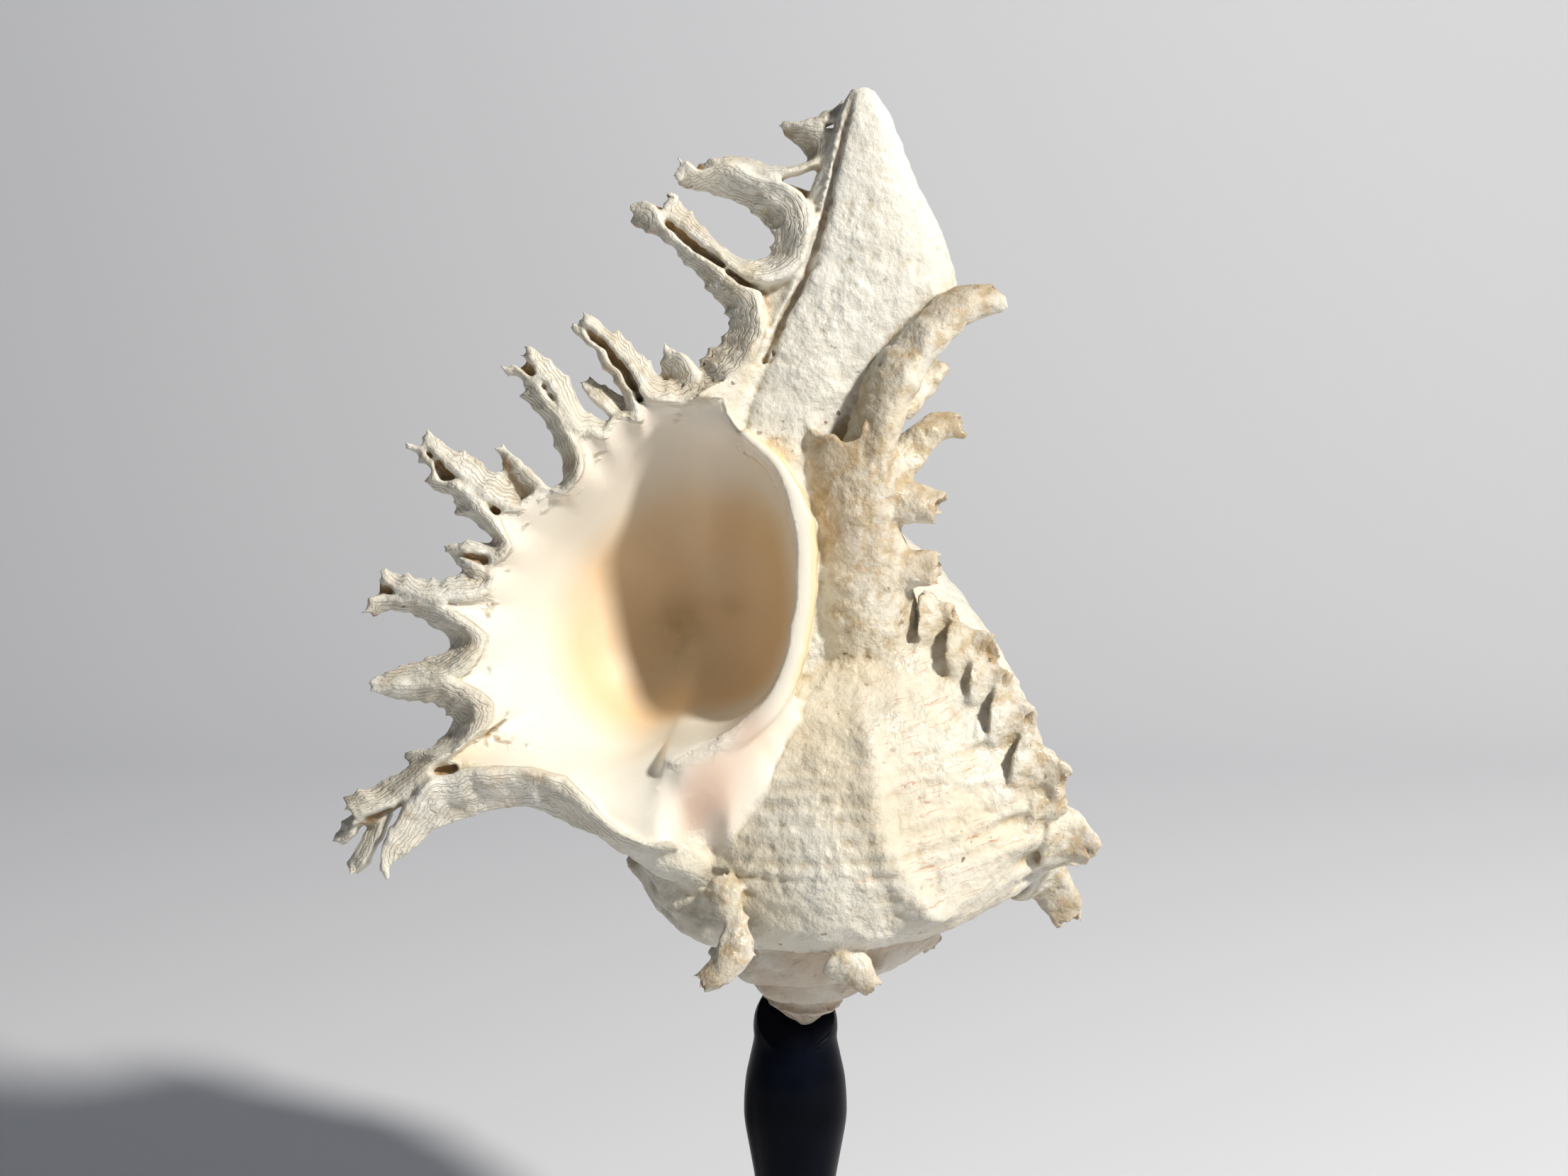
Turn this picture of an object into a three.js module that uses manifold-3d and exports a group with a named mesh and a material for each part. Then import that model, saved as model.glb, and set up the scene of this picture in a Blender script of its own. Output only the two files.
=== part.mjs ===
// A ramose murex shell, the shell of a large spiny sea snail, standing spire down on a small turned stand.
// The shell grew as one piece. The stand is a turned post whose slanted, hollowed top holds the spire.
// Millimetres, +Z up. The origin is the middle of the stand's foot, and the shell's mouth faces -Y.
import * as THREE from "three";
import { ParametricGeometry } from "three/addons/geometries/ParametricGeometry.js";
import { mergeVertices } from "three/addons/utils/BufferGeometryUtils.js";
import Module from "manifold-3d";

const wasm = await Module();
wasm.setup();
const { Manifold } = wasm;
const RAD = Math.PI / 180;
const UP = new THREE.Vector3(0, 0, 1);

// ---- Driving dimensions -------------------------------------------------------------------------
// Shell frame: the apex is the origin, and the coiling axis is +Z and runs to the siphonal canal.
// A turn is an angle about that axis, in degrees, counted from the outer lip back along the whorls.
const LIP_ANGLE = 212; // direction of the outer lip about the axis, counted from +X
const COIL_ROLL = 3 * RAD; // the coiling axis of the whorls leans from +Z towards +X
const GROWTH = 1.8; // how much larger the shell is one whorl later
const OLDEST_TURN = -1440;
const STRETCH = 240; // the whorls are built in stretches of this many degrees
const VARIX_STEP = 120; // three varices, the thick ribs where growth paused, to a whorl
const VARIX_HEIGHT = 5;
const VARIX_WIDTH = 12; // degrees
const VARIX_SLANT = 28; // a varix is this much further round at the shoulder than at its middle, degrees
const KNOB_HEIGHT = 5; // the knob on the shoulder between two varices
const LAST_DROP = 20; // how far the last half whorl slides towards the canal
const WALL = 3; // shell thickness near the mouth

// Outline of the last whorl in a half plane through the axis: distance from the axis, height.
const WHORL_OUTLINE = [
  [29, 43], [44, 50], [57, 54], [66, 61], [69, 73], [68, 88], [60, 106], [50, 121], [37, 135], [20, 145], [0, 149],
];

// The mouth lies in a plane that faces -Y and leans back towards the canal.
const MOUTH = new THREE.Vector3(-24, -26, 104);
const MOUTH_TILT = 19 * RAD;
// Radii about the middle of the mouth, every 30 degrees from the inner lip up and round.
const THROAT_RADII = [21, 24, 30, 26, 25, 27, 28, 29, 30, 31, 27, 22]; // where the flare meets the chamber
const FLARE_RADII = [26, 29, 34, 39, 35, 36, 38, 48, 47, 46, 33, 28]; // edge of the smooth flare

// The living chamber's oval section at the lip: its middle, half width and half height.
const CHAMBER = { distance: 34, height: 97, halfWidth: 24, halfHeight: 27 };

const STAND_HEIGHT = 92;
const SEAT_SLANT = 49 * RAD; // the front of the post's top falls away at this angle
const SPIRE_SPREAD = 1.5; // the spire is nowhere wider than this many times the height above its tip
const SHELL_LEAN = 7 * RAD; // the shell leans towards -Y
const SHELL_APEX = new THREE.Vector3(1.5, -2.5, 86.5);

// ---- Solids -------------------------------------------------------------------------------------
// A closed three.js geometry as a solid for joining and cutting.
function solidOf(geometry) {
  const bare = new THREE.BufferGeometry();
  bare.setAttribute("position", geometry.getAttribute("position"));
  bare.setIndex(geometry.getIndex());
  const merged = mergeVertices(bare, 1e-4);
  const corners = merged.getIndex().array;
  const kept = [];
  for (let i = 0; i < corners.length; i += 3) {
    const [a, b, c] = corners.slice(i, i + 3);
    if (a !== b && b !== c && c !== a) kept.push(a, b, c);
  }
  const vertProperties = new Float32Array(merged.getAttribute("position").array);
  const made = new Manifold(new wasm.Mesh({ numProp: 3, vertProperties, triVerts: new Uint32Array(kept) }));
  if (made.volume() > 0) return made;
  for (let i = 0; i < kept.length; i += 3) [kept[i + 1], kept[i + 2]] = [kept[i + 2], kept[i + 1]];
  return new Manifold(new wasm.Mesh({ numProp: 3, vertProperties, triVerts: new Uint32Array(kept) }));
}

function geometryOf(solid) {
  const mesh = solid.getMesh();
  const geometry = new THREE.BufferGeometry();
  geometry.setAttribute("position", new THREE.BufferAttribute(mesh.vertProperties, 3));
  geometry.setIndex(new THREE.BufferAttribute(mesh.triVerts, 1));
  geometry.computeVertexNormals();
  return geometry;
}

// A closed solid through rings: ring(t, u) is the point at u round the ring at t, both from 0 to 1.
function loft(ring, rows, points) {
  const ends = [0, 1].map((t) => {
    const middle = new THREE.Vector3();
    for (let i = 0; i < points; i++) middle.addScaledVector(ring(t, i / points), 1 / points);
    return middle;
  });
  const at = (u, v, target) => {
    const row = Math.round(v * (rows + 2)) - 1;
    if (row < 0) return target.copy(ends[0]);
    if (row > rows) return target.copy(ends[1]);
    return target.copy(ring(row / rows, (Math.round(u * points) % points) / points));
  };
  return solidOf(new ParametricGeometry(at, points, rows + 2));
}

const mix = THREE.MathUtils.lerp;
const smooth = THREE.MathUtils.smoothstep;

// ---- Whorls -------------------------------------------------------------------------------------
const whorlCurve = new THREE.SplineCurve(WHORL_OUTLINE.map(([x, y]) => new THREE.Vector2(x, y)));
const sizeAt = (turn) => GROWTH ** (turn / 360);
const dropAt = (turn, share) =>
  LAST_DROP * smooth(turn, -200, -10) * smooth(share, -0.05, 0.25) * (1 - smooth(share, 0.3, 0.8));
const slantAt = (share) => VARIX_SLANT * (1 - smooth(share, 0.15, 0.6));

// About the leaning coiling axis: a distance from it, an angle round it and a height along it.
const polar = (distance, angle, height) =>
  new THREE.Vector3(distance * Math.cos(angle * RAD), distance * Math.sin(angle * RAD), height).applyAxisAngle(
    new THREE.Vector3(0, 1, 0),
    COIL_ROLL,
  );

// Degrees from a turn to the nearest varix.
function fromVarix(turn) {
  const past = (((turn + VARIX_STEP / 2) % VARIX_STEP) + VARIX_STEP) % VARIX_STEP;
  return past - VARIX_STEP / 2;
}

// Point on the outside of the whorls, at a share of the way along the outline.
function whorlPoint(turn, share) {
  const size = sizeAt(turn);
  const { x: distance, y: height } = whorlCurve.getPoint(share);
  const near = fromVarix(turn - slantAt(share));
  const ridge = VARIX_HEIGHT * Math.exp(-((near / VARIX_WIDTH) ** 2));
  const knobTurn = (VARIX_STEP / 2 - Math.abs(near)) / 13;
  const knob = KNOB_HEIGHT * Math.exp(-(knobTurn ** 2) - ((share - 0.28) / 0.07) ** 2);
  const out = (ridge + knob) * smooth(distance, 0, 30);
  const narrowed = 1 - 0.07 * smooth(turn, -120, 0);
  return polar((distance * narrowed + out) * size, LIP_ANGLE + turn, (height + dropAt(turn, share)) * size);
}

// A stretch of the whorls between two turns, filled to just past the axis.
function whorlStretch(from, to, rows, points) {
  const outside = points - 3; // of the points, and the rest run back beside the axis
  return loft(
    (t, u) => {
      const turn = mix(from, to, t);
      const index = Math.round(u * points);
      if (index <= outside) return whorlPoint(turn, index / outside);
      const size = sizeAt(turn);
      const back = (index - outside) / (points - outside);
      return polar(-size, LIP_ANGLE + turn, mix(149, 43, back) * size);
    },
    rows,
    points,
  );
}

// The whorls, finer on the last two turns, with the blunt tip of the spire and the columella, the solid
// pillar that they wind round.
function whorls() {
  const tip = solidOf(new THREE.ConeGeometry(9, 7, 12).rotateX(-Math.PI / 2).translate(0, 0, 3.5));
  const columella = new THREE.CylinderGeometry(2.5, 9, 132, 8).rotateX(-Math.PI / 2).translate(0, 0, 70);
  columella.rotateY(COIL_ROLL);
  const stretches = [];
  for (let to = 0; to > OLDEST_TURN; to -= STRETCH) {
    const fine = to > -700;
    stretches.push(whorlStretch(to - STRETCH - 3, to, fine ? 14 : 7, fine ? 15 : 11));
  }
  return Manifold.union([tip, solidOf(columella), ...stretches]);
}

// ---- Mouth and living chamber -------------------------------------------------------------------
const mouthUp = new THREE.Vector3(0, Math.sin(MOUTH_TILT), Math.cos(MOUTH_TILT));
const mouthOut = new THREE.Vector3(0, -Math.cos(MOUTH_TILT), Math.sin(MOUTH_TILT));

// The point of the mouth plane x to the right and y up from its middle, and out from the plane.
const inMouth = (x, y, out) =>
  new THREE.Vector3(x, 0, 0).add(MOUTH).addScaledVector(mouthUp, y).addScaledVector(mouthOut, out);

function radiusCurve(radii) {
  const step = (2 * Math.PI) / radii.length;
  const points = radii.map((radius, i) => new THREE.Vector3(radius, 0, 0).applyAxisAngle(UP, i * step));
  return new THREE.CatmullRomCurve3(points, true, "centripetal");
}
const MOUTH_POINTS = 18; // round each section of the mouth and chamber
const throatCurve = radiusCurve(THROAT_RADII);
const flareCurve = radiusCurve(FLARE_RADII);

// Point of a mouth outline, widened by grow, standing out of the mouth plane.
function rimPoint(curve, u, out, grow = 0) {
  const { x, y } = curve.getPoint(u);
  const wider = 1 + grow / Math.hypot(x, y);
  return inMouth(x * wider, y * wider, out);
}

// Point of the living chamber's oval section at an angle about the axis, u as on the mouth outlines.
function chamberPoint(angle, u, grow = 0) {
  const size = sizeAt(angle - LIP_ANGLE);
  const { distance, height, halfWidth, halfHeight } = CHAMBER;
  const x = (distance - (halfWidth + grow) * Math.cos(u * 2 * Math.PI)) * size;
  const z = (height + (halfHeight + grow) * Math.sin(u * 2 * Math.PI)) * size;
  return polar(x, angle, z);
}

function chamber() {
  return loft(
    (t, u) => {
      const row = Math.round(t * 9);
      if (row === 0) return rimPoint(flareCurve, u, 12, -1);
      if (row === 1) return rimPoint(flareCurve, u, 0.5, -1.2);
      if (row === 2) return rimPoint(flareCurve, u, -3.5, -1).lerp(rimPoint(throatCurve, u, -3.5), 0.5);
      if (row === 3) return rimPoint(throatCurve, u, -9);
      return chamberPoint(mix(180, 60, (row - 4) / 5), u);
    },
    9,
    MOUTH_POINTS,
  );
}

function lip() {
  return loft(
    (t, u) => {
      if (t < 0.2) return rimPoint(flareCurve, u, 1.5, 0.5);
      if (t < 0.4) return rimPoint(flareCurve, u, -2.5, 1);
      if (t < 0.6) return rimPoint(flareCurve, u, -7).lerp(rimPoint(throatCurve, u, -10, WALL), 0.6);
      if (t < 0.8) return rimPoint(throatCurve, u, -16, WALL);
      return chamberPoint(172, u, WALL);
    },
    5,
    MOUTH_POINTS,
  );
}

// ---- Siphonal canal -----------------------------------------------------------------------------
// The canal is a flattened blade. Stations: height, left edge, right edge, middle y, half depth.
const CANAL = [
  [50, 2, 14, -10, 18], [88, -14, 24, -6, 19], [112, -17, 21, -6, 14], [132, -16, 13, -5, 9], [146, -11, 21, -3, 8],
  [158, -7, 30, 0, 8], [170, -2, 28, 2, 7.5], [184, 3, 21, 3, 6], [194, 7, 17, 3, 4], [198, 9, 14, 3, 2.5],
];
// Section, in shares of the half width and half depth, with the narrow slit on the left of the front.
const CANAL_SECTION = [
  [1, 0], [0.75, -0.7], [0.2, -1], [-0.4, -0.95], [-0.68, -0.6], [-0.7, 0.2], [-0.84, 0.2], [-0.86, -0.9],
  [-1, -0.8], [-1.02, 0], [-0.75, 0.7], [0, 1], [0.7, 0.7],
];

function canal() {
  const columns = [0, 1, 2, 3, 4].map(
    (k) => new THREE.SplineCurve(CANAL.map((station, i) => new THREE.Vector2(i, station[k]))),
  );
  return loft(
    (t, u) => {
      const [height, left, right, y, depth] = columns.map((column) => column.getPoint(t).y);
      const [across, deep] = CANAL_SECTION[Math.round(u * CANAL_SECTION.length)];
      return new THREE.Vector3(mix(left, right, (across + 1) / 2), y + deep * depth, height);
    },
    12,
    CANAL_SECTION.length,
  );
}

// ---- Fronds of the outer lip --------------------------------------------------------------------
// The lip's edge is a thick ribbon pleated into hollow fronds. Each ribbon runs from the tip of one frond,
// round the gap, to the tip of the next: x, y in the mouth plane and half width.
const RIBBONS = [
  [[32, 98, 1.5], [28, 95, 2], [20, 93, 1.3]],
  [[20, 93, 1.3], [26, 89, 2.5], [25, 85, 2.5], [17, 85, 2.3], [9, 89, 1]],
  [[-1, 81, 1], [8, 81, 2.5], [17, 78, 3], [22, 72, 3.3], [17, 64, 3], [9, 66, 1.8], [3, 72, 1.5], [-1, 78, 1]],
  [[-10, 74, 1], [-1, 69, 2], [7, 62, 2.7], [12, 56, 3.3], [12, 48, 3.3], [6, 43, 2.5], [0, 41, 3], [-4, 47, 1.3]],
  [[-18, 55, 1.3], [-12, 49, 2.2], [-6, 43, 2.5], [-2, 42, 2], [-3, 48, 1.2]],
  [[-21, 53, 1.3], [-15, 46, 2], [-10, 38, 2.5], [-13, 33, 2.5], [-19, 38, 2.3], [-24, 45, 2], [-29, 49, 1.2]],
  [[-34, 44, 1.2], [-28, 39, 2.2], [-23, 32, 2.5], [-21, 24, 2.5], [-27, 20, 2], [-35, 28, 1.2]],
  [[-36, 26, 1.2], [-32, 19, 1.8], [-36, 21, 2], [-42, 25, 2.3], [-49, 31, 1.3]],
  [[-52, 29, 1.2], [-45, 22, 2], [-38, 17, 2.3], [-35, 11, 2], [-40, 8, 2], [-45, 10, 1.2]],
  [[-45, 9, 1.2], [-39, 5, 1.8], [-38, 1, 2], [-46, 3, 2.2], [-58, 5, 1.3]],
  [[-62, -2, 1.2], [-52, -1, 2.2], [-43, -4, 2.5], [-39, -10, 2.8], [-44, -14, 2.5], [-59, -17, 1.2]],
  [
    [-58, -19, 1.2], [-49, -19, 2.2], [-41, -20, 2.5], [-39, -26, 2.8], [-46, -32, 2.5], [-57, -36, 2.2], [-66, -39, 1.3],
  ],
  [
    [-64, -52, 1.5], [-57, -51, 3], [-53, -43, 3.3], [-43, -37, 3], [-31, -35, 3], [-21, -37, 3], [-14, -43, 2.5],
    [-8, -48, 2],
  ],
];
// The closed backs of the fronds: root, middle and tip in the mouth plane, and half width at the root.
const FROND_BACKS = [
  [[34, 88], [27, 90], [20, 92], 4], [[26, 76], [13, 84], [3, 85], 5], [[14, 60], [4, 70], [-6, 76], 5],
  [[-4, 38], [-12, 47], [-19, 53], 5], [[-15, 28], [-22, 38], [-31, 46], 5], [[-26, 18], [-31, 23], [-35, 26], 3.5],
  [[-34, 13], [-42, 22], [-50, 29], 5], [[-36, 5], [-40, 8], [-44, 9], 3], [[-38, -4], [-49, 1], [-59, 1], 5],
  [[-38, -17], [-49, -17], [-57, -18], 5], [[-33, -26], [-50, -38], [-65, -46], 10],
];

function ribbonSolid(stations) {
  const spine = new THREE.SplineCurve(stations.map(([x, y]) => new THREE.Vector2(x, y)));
  const widths = new THREE.SplineCurve(stations.map(([, , width], i) => new THREE.Vector2(i, width)));
  const sides = 5;
  return loft(
    (t, u) => {
      const { x, y } = spine.getPoint(t);
      const along = spine.getTangent(t);
      const width = Math.max(widths.getPoint(t).y, 0.8);
      const angle = u * 2 * Math.PI;
      const across = width * Math.cos(angle);
      const lift = mix(-2, 1, Math.sin(t * Math.PI)) + (0.7 + 0.35 * width) * Math.sin(angle);
      return inMouth(x + across * along.y, y - across * along.x, lift);
    },
    stations.length,
    sides,
  );
}

function backSolid([root, middle, tip, width]) {
  const spine = new THREE.QuadraticBezierCurve3(
    new THREE.Vector3(...root, -4),
    new THREE.Vector3(...middle, -3.5),
    new THREE.Vector3(...tip, -2.5),
  );
  const sides = 5;
  return loft(
    (t, u) => {
      const { x, y, z } = spine.getPoint(t);
      const along = spine.getTangent(t).normalize();
      const angle = u * 2 * Math.PI;
      const across = mix(width, 1.5, t ** 0.6) * Math.cos(angle);
      return inMouth(x + across * along.y, y - across * along.x, z + mix(3, 1.2, t) * Math.sin(angle));
    },
    3,
    sides,
  );
}

// ---- Fronds of the older varices ----------------------------------------------------------------
// A stubby frond between two points, hollow on the side that faces the way of growth.
const STUB_SECTION = [[1, 0.4], [0, -0.2], [-1, 0.4], [-0.7, -0.6], [0.7, -0.6]];

function stub(root, tip, facing, rootWidth, tipWidth, bow = 0) {
  const middle = root.clone().lerp(tip, 0.5);
  middle.z += bow;
  const spine = new THREE.QuadraticBezierCurve3(root, middle, tip);
  return loft(
    (t, u) => {
      const along = spine.getTangent(t);
      const side = new THREE.Vector3().crossVectors(along, facing).normalize();
      const up = new THREE.Vector3().crossVectors(side, along).normalize();
      const width = mix(rootWidth, tipWidth, t ** 0.5);
      const [across, high] = STUB_SECTION[Math.round(u * STUB_SECTION.length)];
      return spine.getPoint(t).addScaledVector(side, across * width).addScaledVector(up, high * width);
    },
    2,
    STUB_SECTION.length,
  );
}

// Stubs down a varix: share along the outline, length, half width at the last whorl's size, and droop.
const VARIX_STUBS = [
  [0.26, 10, 5.5, -15], [0.36, 7, 4, -3], [0.44, 10, 4.5, 0], [0.53, 11, 4.5, 2], [0.62, 11, 4.5, 4], [0.72, 12, 4, 3],
];

function varixStubs(turn, list) {
  const size = sizeAt(turn);
  return list.map(([share, length, width, droop]) => {
    const there = turn + slantAt(share);
    const surface = whorlPoint(there, share);
    const out = polar(1, LIP_ANGLE + there, 0);
    const growing = polar(1, LIP_ANGLE + there + 90, 0);
    const root = surface.clone().addScaledVector(out, -3 * size);
    const tip = surface.clone().addScaledVector(out, length * size).addScaledVector(growing, 2 * size);
    tip.z += droop * size;
    return stub(root, tip, growing, width * 1.5 * size, width * 0.8 * size, -droop * 0.4 * size);
  });
}

// The ends of the two older canals and the fronds beside them: root, tip, half widths and bow.
const OLD_CANALS = [
  [[9, -8, 104], [9, -14, 135], 9, 7, 0], // the hollow end of the older one
  [[8, 2, 122], [17, 6, 148], 7, 6, 3],
  [[15, 4, 144], [40, 10, 158], 5.5, 4.5, 5],
  [[8, 4, 104], [35, 15, 133], 6, 3, 4],
  [[14, 6, 132], [31, 20, 146], 4, 2.5, 2],
  [[12, -10, 116], [27, -14, 119], 6, 3.5, 0],
  [[12, -12, 104], [27, -15, 109], 5.5, 3, -1],
];

function oldCanals() {
  const facing = new THREE.Vector3(0, 1, 0.2);
  return OLD_CANALS.map(([root, tip, rootWidth, tipWidth, bow]) =>
    stub(new THREE.Vector3(...root), new THREE.Vector3(...tip), facing, rootWidth, tipWidth, bow),
  );
}

// ---- Shell --------------------------------------------------------------------------------------
function shellSolid() {
  const fronds = [
    ...RIBBONS.map(ribbonSolid),
    ...FROND_BACKS.map(backSolid),
    ...varixStubs(-VARIX_STEP, VARIX_STUBS),
    ...varixStubs(-2 * VARIX_STEP, VARIX_STUBS),
    ...varixStubs(-3 * VARIX_STEP + 10, VARIX_STUBS.slice(0, 2)),
    ...varixStubs(-4 * VARIX_STEP, VARIX_STUBS.slice(0, 1)),
    ...varixStubs(-5 * VARIX_STEP, VARIX_STUBS.slice(0, 1)),
    ...oldCanals(),
  ];
  return Manifold.union([whorls(), lip(), canal(), ...fronds]).subtract(chamber());
}

// ---- Stand --------------------------------------------------------------------------------------
// Outline of the turned stand: radius, height above the table.
const STAND_OUTLINE = [
  [0, 0], [41, 0], [42, 1], [42, 5], [38, 10], [24, 15], [14, 22], [9.5, 34], [8.6, 46], [10.1, 58], [11.3, 66],
  [10.6, 75], [9.2, 83], [9.4, 86], [8.8, 89], [7.6, 92], [0, 92],
];
const SEAT_CLEARANCE = 0.6;

// The post's top is cut away at a slant in front, and a cone for the spire is sunk in it.
function standSolid() {
  const outline = STAND_OUTLINE.map(([radius, height]) => new THREE.Vector2(radius, height));
  const turned = solidOf(new THREE.LatheGeometry(outline, 28).rotateX(Math.PI / 2));
  const block = new THREE.BoxGeometry(40, 40, 40).translate(0, -20, 20).rotateX(SEAT_SLANT);
  block.translate(0, 0, STAND_HEIGHT);
  const cone = new THREE.ConeGeometry(SPIRE_SPREAD * 20, 20, 16).rotateX(-Math.PI / 2).translate(0, 0, 10);
  cone.translate(SHELL_APEX.x, SHELL_APEX.y, SHELL_APEX.z - SEAT_CLEARANCE);
  return turned.subtract(solidOf(block)).subtract(solidOf(cone));
}

const shell = new THREE.Mesh(
  geometryOf(shellSolid()),
  new THREE.MeshStandardMaterial({ color: 0xe6dfcf, roughness: 0.5, metalness: 0 }),
);
shell.name = "shell";
shell.position.copy(SHELL_APEX);
shell.rotation.x = SHELL_LEAN;

const stand = new THREE.Mesh(
  geometryOf(standSolid()),
  new THREE.MeshStandardMaterial({ color: 0x0c0d12, roughness: 0.35, metalness: 0 }),
);
stand.name = "stand";

const murex = new THREE.Group();
murex.add(shell, stand);
export default murex;
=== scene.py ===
import math

import bpy
import numpy as np
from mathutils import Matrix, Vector, kdtree


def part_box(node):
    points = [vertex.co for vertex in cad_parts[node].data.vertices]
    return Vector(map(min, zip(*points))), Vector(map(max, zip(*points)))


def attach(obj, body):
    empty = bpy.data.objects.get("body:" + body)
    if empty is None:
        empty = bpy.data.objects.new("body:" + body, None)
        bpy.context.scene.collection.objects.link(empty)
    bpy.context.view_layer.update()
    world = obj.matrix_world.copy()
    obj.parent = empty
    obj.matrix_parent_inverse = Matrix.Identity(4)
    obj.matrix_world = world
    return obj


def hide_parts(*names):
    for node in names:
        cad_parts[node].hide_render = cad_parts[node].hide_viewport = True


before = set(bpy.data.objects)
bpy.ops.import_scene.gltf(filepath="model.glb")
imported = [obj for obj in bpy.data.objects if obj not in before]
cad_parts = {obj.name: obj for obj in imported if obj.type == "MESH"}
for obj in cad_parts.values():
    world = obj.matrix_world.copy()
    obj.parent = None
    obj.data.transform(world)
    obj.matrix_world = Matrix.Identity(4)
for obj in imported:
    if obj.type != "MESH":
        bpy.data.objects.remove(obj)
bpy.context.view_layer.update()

# ---- Camera, floor and light ------------------------------------------------------------------
# A level camera a little above the shell looks slightly down at it. The floor and the wall behind are
# one sheet of pale card that sweeps up in a wide curve. A bright lamp stands high in front on the right,
# and a weak wide one on the left fills the shadows.
bpy.ops.object.select_all(action="DESELECT")
shell_foot = Vector(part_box("shell")[0]).z  # height of the shell's lowest point
AIM_X, AIM_ABOVE_FOOT = -0.0025, 0.09584
middle = Vector((AIM_X, 0, shell_foot + AIM_ABOVE_FOOT))
LOOK_DOWN = math.radians(8)
CAMERA_DISTANCE = 0.48
bpy.ops.object.camera_add(
    location=middle + Vector((0, -math.cos(LOOK_DOWN), math.sin(LOOK_DOWN))) * CAMERA_DISTANCE,
    rotation=(math.pi / 2 - LOOK_DOWN, 0, 0),
)
camera = bpy.context.object
camera.name = "camera"
camera.data.sensor_width = 36
camera.data.lens = 51.8
bpy.context.scene.camera = camera

CARD_WIDTH, CARD_FRONT, CARD_BACK, CARD_HEIGHT = 5.0, -2.2, 1.1, 2.8
bpy.ops.mesh.primitive_plane_add(size=1, location=(0, 0, 0))
card = bpy.context.object
card.name = "card"
bpy.ops.object.mode_set(mode="EDIT")
bpy.ops.transform.resize(value=(CARD_WIDTH, CARD_BACK - CARD_FRONT, 1))
bpy.ops.transform.translate(value=(0, (CARD_BACK + CARD_FRONT) / 2, 0))
bpy.ops.object.mode_set(mode="OBJECT")
for part in [*card.data.vertices, *card.data.edges, *card.data.polygons]:
    part.select = False
for corner in card.data.vertices:
    corner.select = corner.co.y > 0
for edge in card.data.edges:
    edge.select = all(card.data.vertices[v].select for v in edge.vertices)
bpy.ops.object.mode_set(mode="EDIT")
bpy.ops.mesh.extrude_region_move(TRANSFORM_OT_translate={"value": (0, 0, CARD_HEIGHT)})
bpy.ops.object.mode_set(mode="OBJECT")


def worked(piece, name, kind, **settings):
    """Applies a modifier with the given settings to a piece."""
    modifier = piece.modifiers.new(name, kind)
    for setting, value in settings.items():
        setattr(modifier, setting, value)
    bpy.ops.object.modifier_apply(modifier=name)


worked(card, "sweep", "BEVEL", width=0.45, segments=24, limit_method="ANGLE")
bpy.ops.object.shade_smooth()
card_material = bpy.data.materials.new("pale_card")
card_material.use_nodes = True
card_shader = card_material.node_tree.nodes["Principled BSDF"]
card_shader.inputs["Base Color"].default_value = (0.76, 0.78, 0.82, 1)
card_shader.inputs["Roughness"].default_value = 0.9
card.data.materials.append(card_material)


def soft_lamp(name, place, size, power, tint):
    bpy.ops.object.light_add(type="AREA", location=place)
    lamp = bpy.context.object
    lamp.name = name
    lamp.rotation_euler = (middle - Vector(place)).to_track_quat("-Z", "Y").to_euler()
    lamp.data.shape = "DISK"
    lamp.data.size = size
    lamp.data.energy = power
    lamp.data.color = tint


soft_lamp("key_lamp", (0.98, -0.78, 1.10), 0.18, 34.5, (1.0, 0.955, 0.89))
soft_lamp("fill_lamp", (-1.1, -0.9, 0.6), 1.0, 0.3, (0.86, 0.92, 1.0))
bpy.context.scene.view_settings.view_transform = "Standard"
world = bpy.data.worlds.new("room")
bpy.context.scene.world = world
world.use_nodes = True
room_light = world.node_tree.nodes["Background"]
room_light.inputs["Color"].default_value = (0.80, 0.87, 1.0, 1)
room_light.inputs["Strength"].default_value = 0.085

# ---- Shell ------------------------------------------------------------------------------------
# The shell of a ramose murex, a limy shell that grew in one piece: whorls winding down to the apex, a
# porcelain mouth, an outer lip pleated into frilled fronds, and a long canal. Its surfaces are laid down
# ring by ring, fused with a fine remesh, hollowed for the mouth's bowl and thinned.

# All its shapes are in millimetres from the apex, with the coiling axis on +Z.
APEX = Vector((0.0015, -0.0025, shell_foot))
LEAN = math.radians(7)  # the whole shell leans towards -Y
COIL_ROLL = math.radians(3)  # the coiling axis leans towards +X
LIP_ANGLE = 212  # direction of the outer lip about the axis, degrees from +X
GROWTH = 1.8  # how much larger the shell is one whorl later
OLDEST_TURN = -1440
VARIX_STEP = 120  # degrees between the thick ribs where growth paused
RIB_PLACE = 73  # degrees from a varix to the thin rib that ends in a knob
WHORL_OUTLINE = np.array([
    (29, 43), (44, 50), (57, 54), (66, 61), (69, 73), (68, 88), (60, 106), (50, 121), (37, 135), (20, 145),
    (0, 149),
], float)
MOUTH = np.array((-24.0, -26.0, 104.0))
MOUTH_TILT = math.radians(19)  # the mouth leans back towards the canal
WALL = 3  # thickness of the bowl's wall

solid_points, solid_faces = [], []  # every ring solid that the shell is fused from
sample_points, sample_marks = [], []  # points on them that know what kind of surface they are on
WHORL, RIBBON, FLOOR, STUB, CANAL, BOWL, LIP, TUBE, CALLUS = range(9)


def smooth(value, low, high):
    share = np.clip((np.asarray(value, float) - low) / (high - low), 0, 1)
    return share * share * (3 - 2 * share)


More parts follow.
